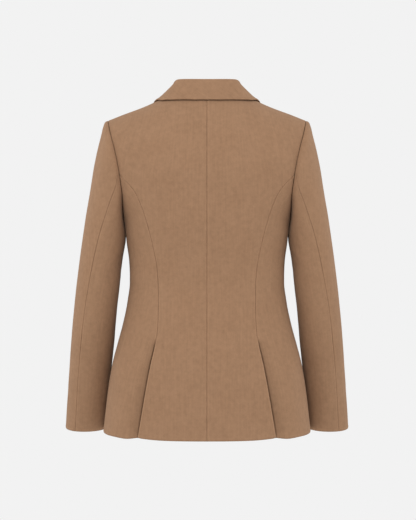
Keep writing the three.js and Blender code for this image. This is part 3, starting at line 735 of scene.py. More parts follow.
def side_point(angle, z):
    p = ring_point(angle, z)
    inside = np.where(angle > 0, long_seam("back", z) + SINK_BLEND - p[..., 0], 0)
    sink = UNDERLAP_SINK * ease((VENT_TOP - z) / SINK_RAMP) * ease(inside / SINK_BLEND)
    # Right beside the back panel's edge the cloth turns in sharply
    past = p[..., 0] - long_seam("back", z)
    start = past - TURN_FROM
    sharp = np.where(start > 0, np.exp(-((start / TURN_WIDTH) ** 4)), bump(start / TURN_BEHIND))
    soft = TURN_SOFT * bump(past / TURN_SOFT_WIDTH)
    turn_in = (TURN_IN * sharp + soft) * ease((VENT_TOP - 1 - z) / TURN_RAMP)
    turn_in = turn_in * (0.75 + 0.3 * vent_share(z))
    turn_in = np.where(angle > 0, turn_in, 0)[..., None]
    return p - ring_normal(p) * sink[..., None] - (0, 1, 0.18) * turn_in


def side_places(reach=0.35):
    """The side panel's places, as turns round the body and heights."""
    turn_back = math.acos((PRINCESS_TOP - ARMHOLE_MIDDLE) / ARMHOLE_HALF)

    def ring_at(side, z):
        sign = 1 if side == "back" else -1
        return sign * ring_angle(long_seam(side, z) + HALF_SEAM, z)

    def up_seam(v):
        return HEM + (PRINCESS_TOP - HEM) * v

    def top(u):
        turn = turn_back + (2 * math.pi - 2 * turn_back) * u
        z = armhole_height(turn)
        angle = 0 * z
        for side, sign, here in (("back", 1, u < 0.5), ("front", -1, u >= 0.5)):
            upper = ring_angle(armhole_edge(side, z), z)
            lower = scoop_angle(side, z)
            angle = np.where(here, sign * np.where(z < SCOOP_TOP, lower, upper), angle)
        angle[u == 0] = ring_at("back", PRINCESS_TOP)
        angle[u == 1] = ring_at("front", PRINCESS_TOP)
        return pair(angle, z)

    def hem_edge(u):
        first, last = ring_at("back", HEM), ring_at("front", HEM)
        angle = first + (last - first) * u
        x = ring_point(angle, 0 * angle + HEM)[..., 0]
        return pair(angle, np.where(angle > 0, side_hem(x), HEM + 0 * x))

    def left(v):
        z = up_seam(v) + (side_hem(long_seam("back", HEM)) - HEM) * fade(1 - v, reach)
        return pair(ring_at("back", z), z)

    def right(v):
        return pair(ring_at("front", up_seam(v)), up_seam(v))

    return patch(left, right, hem_edge, top, spread(225, 2.8), spread(520, 4.2))


def underlap(seam_z):
    """The underlap runs on from the side panel's seam under the back panel."""
    out = UNDERLAP_WIDTH * (1 - spread(UNDERLAP_WIDTH, 3.0, (True, False))[:-1])
    share = clamp01((seam_z - seam_z[0]) / (LAP_TOP - seam_z[0]))[:, None]
    x = long_seam("back", seam_z)[:, None] + HALF_SEAM - out[None]
    z = side_hem(x) + (LAP_TOP - out[None] * UNDERLAP_FALL - side_hem(x)) * share
    return side_point(ring_angle(x, z), z)


def side_panel():
    place = side_places()
    main = side_point(place[..., 0], place[..., 1])
    seam_z = main[:, 0, 2]
    lap = underlap(seam_z)
    p = np.concatenate([lap, main], 1)
    laps = lap.shape[1]
    cells = np.ones((len(p) - 1, p.shape[1] - 1), bool)
    cells[seam_z[1:] > LAP_TOP, :laps] = False
    normal = side_normal(p, laps)
    along, front_seam, up, armhole = from_edges(p)
    seam = along - along[:, laps : laps + 1]
    on_panel = np.arange(p.shape[1]) >= laps
    z = p[..., 2]
    vent = in_vent(z)
    height = np.where(on_panel, seam_dip(np.abs(seam)), 0) * (1 - vent)
    height = height + seam_dip(front_seam) + turned_up(up)
    height = height + seam_dip(armhole) * (z > UNDERARM - 60)
    behind, before = (crease_height(p[..., 0], z, CREASES["side"][first:]) for first in (0, 2))
    creases = np.where(p[..., 1] < 0, before, behind)
    calm = ease(front_seam / 12) * ease(seam / 12) * ease(np.abs(p[..., 1]) / 25) * ease(up / 10)
    p = relief(p, normal, height + creases * calm + unevenness(p, 5) * ease(up / CALM))
    p = p - (0, ARM_FOLD, 0) * arm_fold(p, armhole)[..., None]
    free = edge_freedom(p, left=0.5, bottom=FREE)
    middle = np.array([np.interp(0, -row[laps:, 1], a[laps:]) for row, a in zip(p, along)])
    # Painted highlight beside the front seam, above the hem and beside the back seam above the vent
    pressed = 0.45 * highlight_beside(front_seam) + 0.5 * highlight_above_hem(up)
    pressed = pressed + 0.9 * highlight_beside(np.abs(seam), 2, 1.3) * (1 - vent)
    # Painted shade darkens the cloth beside and under the back panel's edge in the vent, and in the fold
    # behind the underarm
    deep = np.where(on_panel, np.exp(-((seam / FOLD_SHADE_WIDTH) ** 4)), 1)
    dark = (FOLD_SHADE + (1 - FOLD_SHADE) * vent_share(z)) * ease((VENT_TOP - z) / TURN_RAMP)
    pressed = pressed - deep * dark - arm_fold(p, armhole, 2.2)
    return p, free, cells, side_normal(p, laps), pair(along - middle[:, None], p[..., 2]), pressed


def side_normal(p, laps):
    """The underlap and the panel have their own normals, because above the vent only one is there."""
    return np.concatenate([grid_normal(q, q * (1, 1, 0)) for q in (p[:, :laps], p[:, laps:])], 1)


# The fronts
def lifted(p, x, layer):
    share = ease((LIFT[0] - x) / (LIFT[0] - LIFT[1]))
    z = p[..., 2]
    span = ease((z - BREAK + 62) / 50) * ease((-180 - z) / 62)
    p[..., 1] -= share * (LAYER + LAPEL_ROOM * span if layer > 0 else -LAYER)
    return p


def front_face(layer):
    return lambda x, level: lifted(body_point("front", x, level), x, layer)


GORGE_LEVEL = float(level_over(neckline("over", GORGE)))
GORGE_X = float(neckline("x", GORGE))
GORGE_Z = float(height_at(GORGE_X, GORGE_LEVEL))


def roll_line(z):
    return -OVERLAP + (GORGE_X + OVERLAP) * (z - BREAK) / (GORGE_Z - BREAK)


def front_inner(level):
    low = front_edge("x", np.minimum(level, BREAK))
    x = 0 * level + GORGE_X
    for _ in range(12):
        x = roll_line(height_at(x, level))
    s = np.linspace(NECK_POINT, GORGE, 200)
    neck = np.interp(-level, -level_over(neckline("over", s)), neckline("x", s))
    return np.where(level <= BREAK, low, np.where(level <= GORGE_LEVEL, x, neck))


def front_panel(layer):
    def outer_edge(v):
        return outer_seam("front", rise(v), v)

    def inner_edge(v):
        return pair(front_inner(rise(v)), rise(v) - HALF_SEAM * v)

    def straight(edge_v):
        v = np.array([edge_v])
        first, last = inner_edge(v)[0], outer_edge(v)[0]
        return lambda u: first + (last - first) * u[:, None]

    up = np.unique(np.r_[spread(650, 4.2), np.linspace(0, 0.06, 16)])
    place = patch(inner_edge, outer_edge, straight(0.0), straight(1.0), spread(110, 2.6), up)
    x, level = place[..., 0], place[..., 1]
    p = front_face(layer)(x, level)
    normal = grid_normal(p, away_from_body(p))
    along, outer, up_hem, shoulder = from_edges(p)
    z = p[..., 2]
    below = ease((BREAK - z) / 12)
    height = below * folded_edge(along, 0.9, 3) + seam_dip(outer)
    height = height + turned_up(up_hem) * ease(along / 20) + seam_dip(shoulder)
    height = height + crease_height(x, z, CREASES["front"]) * ease(outer / 8) * ease(along / 14)
    p = relief(p, normal, height + unevenness(p, 7 + layer) * ease(up_hem / CALM) * ease(along / 12))
    free = edge_freedom(p, left=0.1, bottom=FREE)
    free[:, 0] = 0.1 + (FREE - 0.1) * below[:, 0]
    # Painted highlight along the front edge below the break, beside the long seam and above the hem
    pressed = below * highlight_beside(along, 1.2) + 0.45 * highlight_beside(outer) + 0.5 * highlight_above_hem(up_hem)
    return p, free, None, grid_normal(p, away_from_body(p)), pair(along + x[:, :1], z), pressed


LAPEL_FOLD = WALL + LAID_GAP / 2


def half_turn(centre, up, out, radius, count):
    turn = np.pi * (1 - np.arange(count + 1) / count)[None, :, None]
    way = up[:, None] * np.cos(turn) + out[:, None] * np.sin(turn)
    return centre[:, None] + way * radius


# The lapel's top rises towards the collar's end, over the last share of the lapel
TOP_SHARE = 0.06
GORGE_SHARE = (0, 0.08, 0.25, 0.42, 0.55, 1)
GORGE_RISE = (3.2, 4.7, 3.3, 1.2, 0, 0)


def lapel_piece(layer):
    face = front_face(layer)
    s = spread(230, 2.4)
    at_top = ease((s - 1 + TOP_SHARE) / TOP_SHARE)
    low, high = BREAK + 2, GORGE_Z - 0.8
    z = low + (high - low) * s + GORGE_RISE[0] * at_top
    edge, normal = facing(face, roll_line(z), level_at(roll_line(z), z))

    def line(height):
        return face(roll_line(height), level_at(roll_line(height), height))

    inward = unit(np.cross(line(z + 1) - line(z - 1), normal))
    inward = inward * np.where(inward[:, :1] > 0, -1, 1)
    centre = edge + normal * LAID_GAP / 2 + inward * 0.3
    fold = half_turn(centre, normal, inward, LAPEL_FOLD, 9)
    share = spread(80, 2.2, (False, True))[None, 1:]
    foot, tip_x, tip_z = roll_line(z)[:, None], lapel_edge("x", s)[:, None], lapel_edge("z", s)[:, None]
    length = np.hypot(tip_x - foot, tip_z - z[:, None])
    x, height = foot + (tip_x - foot) * share, z[:, None] + (tip_z - z[:, None]) * share
    # The top runs close along the collar's end, as far as the notch
    rise = np.interp(share, GORGE_SHARE, GORGE_RISE) - GORGE_RISE[0] * (1 - share)
    height = height + rise * at_top[:, None]
    leg, leg_normal = facing(face, x, level_at(x, height))
    stand = 2.4 * ease((z + 236) / 50)[:, None]
    run = length * share / 14
    leg = relief(leg, leg_normal, WALL + LAID_GAP + stand * run * np.exp(1 - run))
    p = np.concatenate([fold, leg], 1)
    outward = np.concatenate([fold - centre[:, None], leg_normal], 1)
    normal = grid_normal(p, outward)
    normal[:, : fold.shape[1]] = unit(fold - centre[:, None])
    along, outer, up, top = from_edges(p)
    height = folded_edge(outer, 0.8, 2.6) + folded_edge(top, 0.8, 2.6) * ease((along - 6) / 6)
    height = height + unevenness(p, 11 + layer, 0.16) * ease((along - 6) / 12)
    p = relief(p, normal, height)
    free = edge_freedom(p, right=FREE, top=0.4, bottom=0.4)
    free[:, 0] = 0
    # Painted highlight along the lapel's outer edge and its top
    pressed = 0.7 * highlight_beside(outer, 1.2) + 0.6 * highlight_beside(top, 1.2)
    return p, free, None, normal, pair(along, up), pressed


def over_point(x, percent):
    level = level_over(percent / 100)
    behind = body_point("back", x, level)
    return np.where((np.asarray(percent) >= 0)[..., None], behind, body_point("front", x, level))


def neck_place(s):
    return neckline("x", s), neckline("over", s) * 100


def fold_at(k):
    size = np.abs(k)
    x = np.sign(k) * collar_row("foldX", size)
    return points(x, collar_row("foldY", size), collar_row("foldZ", size))


def collar_fall(k, start, out, up, flat):
    """The fall, from the outer side of the fold to the free edge on the shoulder."""
    edge, edge_normal = facing(over_point, collar_row("edge", k), collar_row("over", k) * 100)
    end = edge + edge_normal * (collar_row("off", k)[:, None] + 0.8 * (1 - flat))
    length = np.linalg.norm(end - start, axis=1, keepdims=True)
    chord = unit(end - start)
    straight = ease((k - 1) / 2.5)[:, None]
    drop = start + ((chord + up) * straight - up) * length * 0.34 + out * length * 0.12
    down = unit(chord - edge_normal * dot(chord, edge_normal) * 0.6)
    settle = end - down * length * 0.36
    t = spread(44, 1.8, (False, True))[None, 1:, None]
    shares = (1 - t) ** 3, 3 * t * (1 - t) ** 2, 3 * t * t * (1 - t), t**3
    return sum(point[:, None] * share for point, share in zip((start, drop, settle, end), shares))


def collar_piece():
    k = spread(190, 1.9, (False, True)) * COLLAR_END
    flat = collar_row("flat", k)[:, None]
    s = collar_row("s", k)
    seat, seat_normal = facing(over_point, *neck_place(s))
    later, sooner = (over_point(*neck_place(np.maximum(s + step, 0))) for step in (0.05, -0.05))
    opening = unit(np.cross(later - sooner, seat_normal))
    opening = opening * np.where(opening[:, 2:] < 0, -1, 1)
    fold = fold_at(k)
    along = unit(fold_at(k + 0.05) - fold_at(k - 0.05))
    out = unit(points(along[:, 1], -along[:, 0], 0))
    out = out * np.where((out[:, :1] < 0) | ((k == 0)[:, None] & (out[:, 1:2] < 0)), -1, 1)
    out = out + (seat_normal - out) * flat
    out = unit(out - along * dot(out, along))
    up = unit(np.cross(along, out))
    up = up * np.where(up[:, 2:] < 0, -1, 1)
    radius = COLLAR_FOLD + (LAPEL_FOLD - COLLAR_FOLD) * flat
    centre = fold - up * radius
    foot = seat - out * 1.6 + opening * 1.15
    stand_top = centre - out * radius
    share = spread(36, 3, (True, False))[None, :-1, None]
    stand = foot[:, None] + (stand_top - foot)[:, None] * share
    over = half_turn(centre, out, up, radius[:, None], 12)
    fall = collar_fall(k, centre + out * radius, out, up, flat)

    def whole(*parts):
        half = np.concatenate(parts, 1)
        return np.concatenate([half[:0:-1] * (-1, 1, 1), half], 0)

    p, middle = whole(stand, over, fall), centre[:, None]
    normal = grid_normal(p, whole(stand - middle - up[:, None] * 20, over - middle, fall - middle))
    across, edge_left, around, other_end = from_edges(p)
    ends = np.minimum(around, other_end)
    on_fall = ease((across - 30) / 10)
    height = folded_edge(edge_left, 0.6, 1.2) + folded_edge(ends, 0.8, 2.0) * on_fall
    height = height + 0.25 * bump((edge_left - 3) / 1.6) * on_fall
    height = height + unevenness(p, 17, 0.14) * on_fall
    p = relief(p, normal, height)
    free = edge_freedom(p, left=0.3, right=FREE, bottom=0.4, top=0.4)
    # Painted highlight along the collar's free edge and its ends
    pressed = 0.6 * highlight_beside(edge_left, 1.4) + 0.6 * highlight_beside(ends, 1.2) * on_fall
    return p, free, None, normal, pair(around, across), pressed


def oval_point(k, turn):
    out_x, out_z = sleeve_ring("outX", k) - OUTER_TRIM * ease((k - 0.5) / 2), sleeve_ring("outZ", k)
    in_x, in_z = sleeve_ring("inX", k), sleeve_ring("inZ", k)
    c, s = np.cos(turn), np.sin(turn)
    reach = np.where(s > 0, sleeve_ring("back", k), sleeve_ring("front", k))
    drop = CUFF_DROP * ease((k - 12) / 3) * np.maximum(0, s)
    return points(
        (out_x + in_x) / 2 + (out_x - in_x) / 2 * c,
        reach * s - sleeve_ring("forward", k),
        (out_z + in_z) / 2 + (out_z - in_z) / 2 * c - drop,
    )


def sleeve_point(turn, k):
    p = oval_point(k, turn)
    seat = armhole_point(np.mod(turn, 2 * math.pi)) - oval_point(0 * k, turn)
    p = p + seat * sleeve_ring("seat", k)[..., None]
    p[..., 0] += SLEEVE_CLEAR
    return p


def sleeve_height(p, turn, along, other, down, above_cuff):
    """How far the sleeve's cloth stands out at its seams, over its cap and in its creases."""
    on_top = bump(np.mod(turn + math.pi, 2 * math.pi) - math.pi)
    height = seam_dip(along) + seam_dip(other)
    height = height - SEAT_DEPTH * bump(down / SEAT_WIDTH)
    # Behind the shoulder the turnings of the armhole lift the sleeve right beside its seam
    behind = ease((np.sin(turn) - 0.15) / 0.6) * ease((np.cos(turn) + 0.6) / 0.8)
    height = height + 1.7 * ease(down / 2.2) * bump(down / 13) * behind
    height = height + turned_up(above_cuff)
    # The cap is eased in and stands up a little beside its seam
    height = height + on_top * 0.5 * bump((down - 7) / 5)
    ripple = 0.5 + 0.5 * np.sin(turn * 17 + 0.7 * np.sin(turn * 5))
    height = height - on_top * 0.22 * ripple * bump((down - 5) / 5)
    degrees = np.degrees(np.mod(turn + math.pi, 2 * math.pi) - math.pi)
    girth = CREASE_RADIUS * np.radians(1.0)
    rows = [(t * girth, *row) for t, *row in SLEEVE_CREASES]
    calm = ease(along / 9) * ease(other / 9) * ease(down / 30)
    for shift in (0, 360):
        height = height + crease_height((degrees + shift) * girth, p[..., 2], rows) * calm
    return height


def sleeve_panel(which, seed):
    up = spread(610, 3.6)
    # More rings over the sleeve's head, where it turns down from the shoulder
    k = CUFF * ((1 - HEAD_SHARE) * up + HEAD_SHARE * up**HEAD_POWER)
    gap = HALF_SEAM / SEAM_RADIUS
    behind = np.radians(sleeve_ring("seam", k))
    if which == "upper":
        first, last, width = SLEEVE_FRONT_SEAM + gap + 0 * k, behind - gap, 200
    else:
        first, last, width = behind + gap, SLEEVE_FRONT_SEAM - gap + 2 * math.pi + 0 * k, 150
    u = spread(width, 2.6)
    turn = first[:, None] + (last - first)[:, None] * u[None]
    kk = np.broadcast_to(k[:, None], turn.shape)
    p = sleeve_point(turn, kk)
    soft = np.maximum(kk, 1.5)
    axis = points(
        (sleeve_ring("outX", soft) + sleeve_ring("inX", soft)) / 2,
        -sleeve_ring("forward", soft),
        (sleeve_ring("outZ", soft) + sleeve_ring("inZ", soft)) / 2,
    )
    normal = grid_normal(p, p - axis)
    along, other, down, above_cuff = from_edges(p)
    height = sleeve_height(p, turn, along, other, down, above_cuff)
    p = relief(p, normal, height + unevenness(p, seed, 0.3) * ease(down / CALM))
    p = p - (0, ARM_FOLD, 0) * arm_fold(p, down)[..., None]
    free = edge_freedom(p, top=FREE)
    # Painted highlight beside both seams and above the cuff; painted shade right in the seams and in the
    # fold behind the underarm
    pressed = 0.8 * highlight_beside(along) + 0.6 * highlight_beside(other)
    pressed = pressed - 0.24 * (bump(along / 1.1) + bump(other / 1.1))
    pressed = pressed + 0.7 * highlight_above_hem(above_cuff) - arm_fold(p, down, 2.2)
    return p, free, None, grid_normal(p, p - axis), pair(along, down), pressed


# Materials
class Socket:
    """A shader socket, or a number, that takes part in sums."""

    def __init__(self, shader, value):
        self.shader, self.value = shader, value

    def _sum(self, operation, *others):
        values = [o.value if isinstance(o, Socket) else o for o in others]
        node = self.shader.node("Math", {"operation": operation}, dict(enumerate(values)))
        return Socket(self.shader, node.outputs[0])

    def __add__(self, other):
        return self._sum("ADD", self, other)

    def __sub__(self, other):
        return self._sum("SUBTRACT", self, other)

    def __rsub__(self, other):
        return self._sum("SUBTRACT", other, self)

    def __mul__(self, other):
        return self._sum("MULTIPLY", self, other)

    def __truediv__(self, other):
        return self._sum("DIVIDE", self, other)

    def __pow__(self, other):
        return self._sum("POWER", self, other)

    __radd__ = __add__
    __rmul__ = __mul__

    def sine(self):
        return self._sum("SINE", self)

    def clamp(self):
        return self._sum("MINIMUM", self._sum("MAXIMUM", self, 0.0), 1.0)


class Shader:
    """The nodes of a material, or of the air."""

    def __init__(self, owner):
        owner.use_nodes = True
        self.owner, self.tree = owner, owner.node_tree
        self.tree.nodes.clear()

    def node(self, kind, settings=None, sockets=None):
        """A node of one type: its settings first, then the values or links of its sockets."""
        node = self.tree.nodes.new("ShaderNode" + kind)
        for name, value in (settings or {}).items():
            if name == "stops":
                ramp = node.color_ramp
                while len(ramp.elements) < len(value):
                    ramp.elements.new(0.5)
                for element, (at, colour) in zip(ramp.elements, value):
                    element.position, element.color = at, colour
            else:
                setattr(node, name, value)
        for name, value in (sockets or {}).items():
            value = value.value if isinstance(value, Socket) else value
            if isinstance(value, bpy.types.NodeSocket):
                self.tree.links.new(value, node.inputs[name])
            else:
                node.inputs[name].default_value = value
        return node

    def out(self, node, name=0):
        return Socket(self, node.outputs[name])

    def place(self, of="Object"):
        return self.out(self.node("TexCoord"), of)

    def parts(self, vector):
        node = self.node("SeparateXYZ", None, {0: vector})
        return self.out(node, 0), self.out(node, 1)

    def noise(self, vector, scale, detail=2.0, rough=0.5):
        sockets = {"Vector": vector, "Scale": scale, "Detail": detail, "Roughness": rough}
        return self.out(self.node("TexNoise", None, sockets), "Fac")

    def bumps(self, height, strength, distance):
        sockets = {"Height": height, "Strength": strength, "Distance": distance}
        return self.out(self.node("Bump", None, sockets))

    def mix(self, share, a, b, blend="MIX"):
        node = self.node("Mix", {"data_type": "RGBA", "blend_type": blend}, {0: share, 6: a, 7: b})
        return self.out(node, 2)

    def scaled(self, vector, by):
        node = self.node("VectorMath", {"operation": "MULTIPLY"}, {0: vector, 1: by})
        return self.out(node)

    def finish(self, sockets):
        surface = self.node("BsdfPrincipled", None, sockets)
        self.node("OutputMaterial", None, {"Surface": surface.outputs[0]})
        return self.owner


def shade(colour, by):
    return (*(min(1.0, c * by) for c in colour[:3]), 1.0)


# How much of each colour painted shade leaves deep in a fold
DEEP = (0.22, 0.15, 0.1)


def wool(look):
    """Brushed wool in one colour: a fine twill under a short nap, mottled and streaked a little."""
    shader = Shader(bpy.data.materials.new("camel_wool"))
    place = shader.place()
    grain = shader.out(shader.node("UVMap", {"uv_map": "grain"}))
    across, up = shader.parts(grain)
    thread = 2 * math.pi / look.thread
    slant = (across * thread + up * (thread * 0.8)).sine() * 0.5 + 0.5
    cross = (up * (thread * 1.9)).sine() * 0.5 + 0.5
    twill = slant * 0.7 + cross * 0.3
    fibre = shader.noise(shader.scaled(grain, (1.0, 0.45, 1.0)), 2600, 2.0, 0.65)
    nap = shader.noise(place, 420, 3.0, 0.6)
    blotch = shader.noise(place, 120, 2.0, 0.55)
    cloud = shader.noise(place, 22, 2.0, 0.5)
    streak = shader.noise(shader.scaled(grain, (1.0, 0.06, 1.0)), 300, 2.0, 0.5)
    tone = (nap - 0.5) * 0.5 + (blotch - 0.5) * 0.9 + (cloud - 0.5) * 0.35 + (streak - 0.5) * 0.6
    tone = tone * look.mottle + 0.5
    # The piece's painted light: where positive it lightens the cloth as a painted highlight, where
    # negative it darkens it towards the fold's colour as painted shade
    pressed = shader.out(shader.node("Attribute", {"attribute_name": "pressed"}), "Fac")
    grained = tone + pressed.clamp() * look.painted_highlight + (twill - 0.5) * 0.07 + (fibre - 0.5) * 0.22
    colour = shader.mix(grained.clamp(), shade(look.colour, 0.8), shade(look.colour, 1.2))
    deep = (0 - pressed).clamp()
    colour = shader.mix(deep, colour, shade([c * t for c, t in zip(look.colour, DEEP)], 1.0))
    warm = shader.mix((cloud * 1.6 - 0.3).clamp(), (1.0, 0.985, 0.97, 1.0), (1.0, 1.0, 1.0, 1.0))
    colour = shader.mix(1.0, colour, warm, "MULTIPLY")
    height = twill * 0.35 + fibre * 0.5 + nap * 0.9
    return shader.finish(
        {
            "Base Color": colour,
            "Roughness": 0.86 + (nap - 0.5) * 0.16,
            "Specular IOR Level": 0.06,
            "Sheen Weight": 0.1,
            "Sheen Roughness": 0.55,
            "Sheen Tint": (1.0, 0.8, 0.62, 1.0),
            "Normal": shader.bumps(height, look.relief, 0.0004),
        }
    )


# Where each streak of the horn lies, and how bright it is
HORN_STREAKS = ((0.25, 0.45), (0.48, 0.9), (0.62, 1.5), (0.8, 0.8))


def horn_finish(look):
    """Polished imitation horn: dark streaks drifting through brown."""
    shader = Shader(bpy.data.materials.new("brown_horn"))
    place = shader.place()
    drift = shader.noise(shader.scaled(place, (1.0, 1.0, 2.6)), 70, 4.0, 0.6)
    speck = shader.noise(place, 700, 2.0, 0.5)
    stops = [(at, shade(look.horn, by)) for at, by in HORN_STREAKS]
    ramp = shader.node("ValToRGB", {"stops": stops}, {0: drift + (speck - 0.5) * 0.12})
    return shader.finish(
        {
            "Base Color": ramp.outputs[0],
            "Roughness": 0.24 + speck * 0.16,
            "Coat Weight": 0.25,
            "Normal": shader.bumps(speck, 0.15, 0.0001),
        }
    )


def thread_finish(look):
    shader = Shader(bpy.data.materials.new("sewing_thread"))
    twist = shader.noise(shader.place(), 2600, 2.0, 0.6)
    colour = shader.mix(twist, shade(look.colour, 0.55), shade(look.colour, 0.85))
    bumps = shader.bumps(twist, 0.5, 0.0002)
    return shader.finish({"Base Color": colour, "Roughness": 0.62, "Normal": bumps})


FLOOR_RADIUS, FADE_FROM, FADE_WIDTH = 2.4, 0.9, 1.4


def studio_finish(colour):
    """A pale matt floor that fades into the air round it."""
    shader = Shader(bpy.data.materials.new("studio_floor"))
    place = shader.place()
    pale = shader.mix(shader.noise(place, 30, 2.0), shade(colour, 0.8), shade(colour, 0.82))
    x, y = shader.parts(place)
    far = (((x * x + y * y) ** 0.5 - FADE_FROM) / FADE_WIDTH).clamp()
    there = 1 - far * far * (3 - far * 2)
    return shader.finish(
        {"Base Color": pale, "Roughness": 0.9, "Specular IOR Level": 0.0, "Alpha": there}
    )


def studio_air(backdrop, studio):
    """The plain backdrop that the camera sees, and the softer light that reaches the cloth round it."""
    air = Shader(bpy.data.worlds.new("studio_air"))
    x, y = air.parts(air.place("Generated"))
    ends = {"Value": y, "From Min": -1.0, "To Min": studio.air_before, "To Max": studio.air_behind}
    side = air.out(air.node("MapRange", {"interpolation_type": "SMOOTHSTEP"}, ends), "Result")
    lit = air.node("Background", None, {"Strength": x * x * studio.air_beside + side})
    plain = air.node("Background", None, {"Color": (*backdrop, 1.0)})
    seen = air.out(air.node("LightPath"), "Is Camera Ray")
    mix = air.node("MixShader", None, {0: seen, 1: lit.outputs[0], 2: plain.outputs[0]})
    air.node("OutputWorld", None, {0: mix.outputs[0]})
    return air.owner


def kept(name, maker, *values):
    return bpy.data.materials.get(name) or maker(*values)


# What a user would change
COLOUR = {"size": 3, "min": 0, "max": 1, "subtype": "COLOR"}
SHARE = {"min": 0, "max": 1, "subtype": "FACTOR"}
LENGTH = {"unit": "LENGTH", "precision": 5}


class ClothLook(bpy.types.PropertyGroup):
    colour: bpy.props.FloatVectorProperty(
        name="Cloth colour",
        description="Colour of the wool",
        default=(0.297, 0.1725, 0.1005),
        **COLOUR,
    )
    thread: bpy.props.FloatProperty(
        name="Twill spacing",
        description="Width of one line of the twill",
        default=0.0011,
        **LENGTH,
    )
    mottle: bpy.props.FloatProperty(
        name="Mottling",
        description="How uneven the cloth's tone is",
        default=0.8,
        **SHARE,
    )
    relief: bpy.props.FloatProperty(
        name="Nap",
        description="How strongly the weave and the nap stand up",
        default=0.5,
        **SHARE,
    )
    # Strength of the painted highlight beside seams and along edges
    painted_highlight: bpy.props.FloatProperty(
        name="Pressing",
        description="How much lighter the cloth is where the iron has pressed a seam or an edge",
        default=0.2,
        **SHARE,
    )
    horn: bpy.props.FloatVectorProperty(
        name="Button colour",
        description="Colour of the button",
        default=(0.165, 0.086, 0.045),
        **COLOUR,
    )


class CutSizes(bpy.types.PropertyGroup):
    wall: bpy.props.FloatProperty(
        name="Cloth thickness",
        description="Thickness of the cloth with its interlining",
        default=WALL / 1000,
        **LENGTH,
    )
    button_radius: bpy.props.FloatProperty(
        name="Button radius",
        description="Half the width of the button",
        default=0.0115,
        **LENGTH,
    )


class StudioLook(bpy.types.PropertyGroup):
    backdrop: bpy.props.FloatVectorProperty(
        name="Backdrop",
        description="Colour of the floor and of the air behind",
        default=(0.888, 0.888, 0.888),
        **COLOUR,
    )
    air_behind: bpy.props.FloatProperty(
        name="Air behind",
        description="Strength of the soft light from the side of the back",
        default=0.5,
    )
    air_before: bpy.props.FloatProperty(
        name="Air before",
        description="Strength of the soft light from the side of the front",
        default=0.85,
    )
    air_beside: bpy.props.FloatProperty(
        name="Air beside",
        description="Strength that the soft light gains towards both sides",
        default=1.36,
    )
    key: bpy.props.FloatProperty(
        name="Key light", description="Power of the main light, in watts", default=45.2
    )
    floor: bpy.props.FloatProperty(
        name="Floor height",
        description="Height of the floor below the neck",
        default=-1.4,
        **LENGTH,
    )


SIDES = ("left", "right")


def dress(name, panel, flat, area):
    """Adds a sheet of cloth that stands for its solid."""
    scene = bpy.context.scene
    parts = cloth_wall(panel, scene.jacket_cut.wall * 1000, name.endswith("right"))
    piece = make_piece(name + "_cloth", parts, kept("camel_wool", wool, scene.jacket_look))
    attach(piece, "root")
    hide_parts(name)


def dress_both(base, panels, flat, area):
    """Adds the left and the right piece."""
    for side, panel in zip(SIDES, panels):
        dress(f"{base}_{side}", panel, flat, area)


class JACKET_OT_backs(bpy.types.Operator):
    """Cuts the two back panels, from the centre seam to the long seams"""

    bl_idname = "jacket.backs"
    bl_label = "Back panels"

    def execute(self, context):
        # The turnings of the centre seam are ironed over to the right
        panels = back_panel(0.05, 0), back_panel(0.5, 1)
        dress_both("back", panels, (0.2, 0.68), 0.0865)
        return {"FINISHED"}


class JACKET_OT_sides(bpy.types.Operator):
    """Cuts the two side panels with the vents' underlaps"""

    bl_idname = "jacket.sides"
    bl_label = "Side panels"

    def execute(self, context):
        dress_both("side", [side_panel()] * 2, (0.3, 0.51), 0.107)
        return {"FINISHED"}


class JACKET_OT_fronts(bpy.types.Operator):
    """Cuts the two fronts, the right one over the left one"""

    bl_idname = "jacket.fronts"
    bl_label = "Fronts"

    def execute(self, context):
        for side, layer, under in (("left", -1, []), ("right", 1, ["front_left"])):
            dress("front_" + side, front_panel(layer), (0.22, 0.69), 0.0785)
        return {"FINISHED"}


class JACKET_OT_lapels(bpy.types.Operator):
    """Turns the two lapels back on the fronts"""

    bl_idname = "jacket.lapels"
    bl_label = "Lapels"

    def execute(self, context):
        panels = lapel_piece(-1), lapel_piece(1)
        dress_both("lapel", panels, (0.1, 0.3), 0.02)
        return {"FINISHED"}


class JACKET_OT_collar(bpy.types.Operator):
    """Folds the collar over its stand"""

    bl_idname = "jacket.collar"
    bl_label = "Collar"

    def execute(self, context):
        dress("collar", collar_piece(), (0.09, 0.42), 0.0285)
        return {"FINISHED"}


class JACKET_OT_sleeves(bpy.types.Operator):
    """Sets in the two-piece sleeves"""

    bl_idname = "jacket.sleeves"
    bl_label = "Sleeves"

    def execute(self, context):
        for which, seed, flat, area in (
            ("upper", 21, (0.26, 0.62), 0.096),
            ("under", 23, (0.17, 0.52), 0.06),
        ):
            panels = [sleeve_panel(which, seed)] * 2
            dress_both(which + "_sleeve", panels, flat, area)
        return {"FINISHED"}


def tube(path, radius, sides=8):
    """A closed tube of thread along a path."""
    path = np.array(path, float)
    tangent = unit(np.gradient(path, axis=0))
    side = unit(np.cross(tangent, (0.31, 0.2, 0.93)))
    other = np.cross(tangent, side)
    turn = np.arange(sides) * 2 * math.pi / sides
    ring = side[:, None] * np.cos(turn)[None, :, None] + other[:, None] * np.sin(turn)[None, :, None]
    verts = (path[:, None] + ring * radius).reshape(-1, 3)
    count = len(path)
    number = np.arange(count * sides).reshape(count, sides)
    nxt = np.roll(number, -1, 1)
    quads = np.stack([number[:-1], nxt[:-1], nxt[1:], number[1:]], -1).reshape(-1, 4).tolist()
    return verts, quads + [number[0, ::-1].tolist(), number[-1].tolist()], None


def joined(pieces):
    verts, faces, start = [], [], 0
    for v, f, _ in pieces:
        verts.append(v)
        faces += [[n + start for n in face] for face in f]
        start += len(v)
    return np.concatenate(verts), faces, None


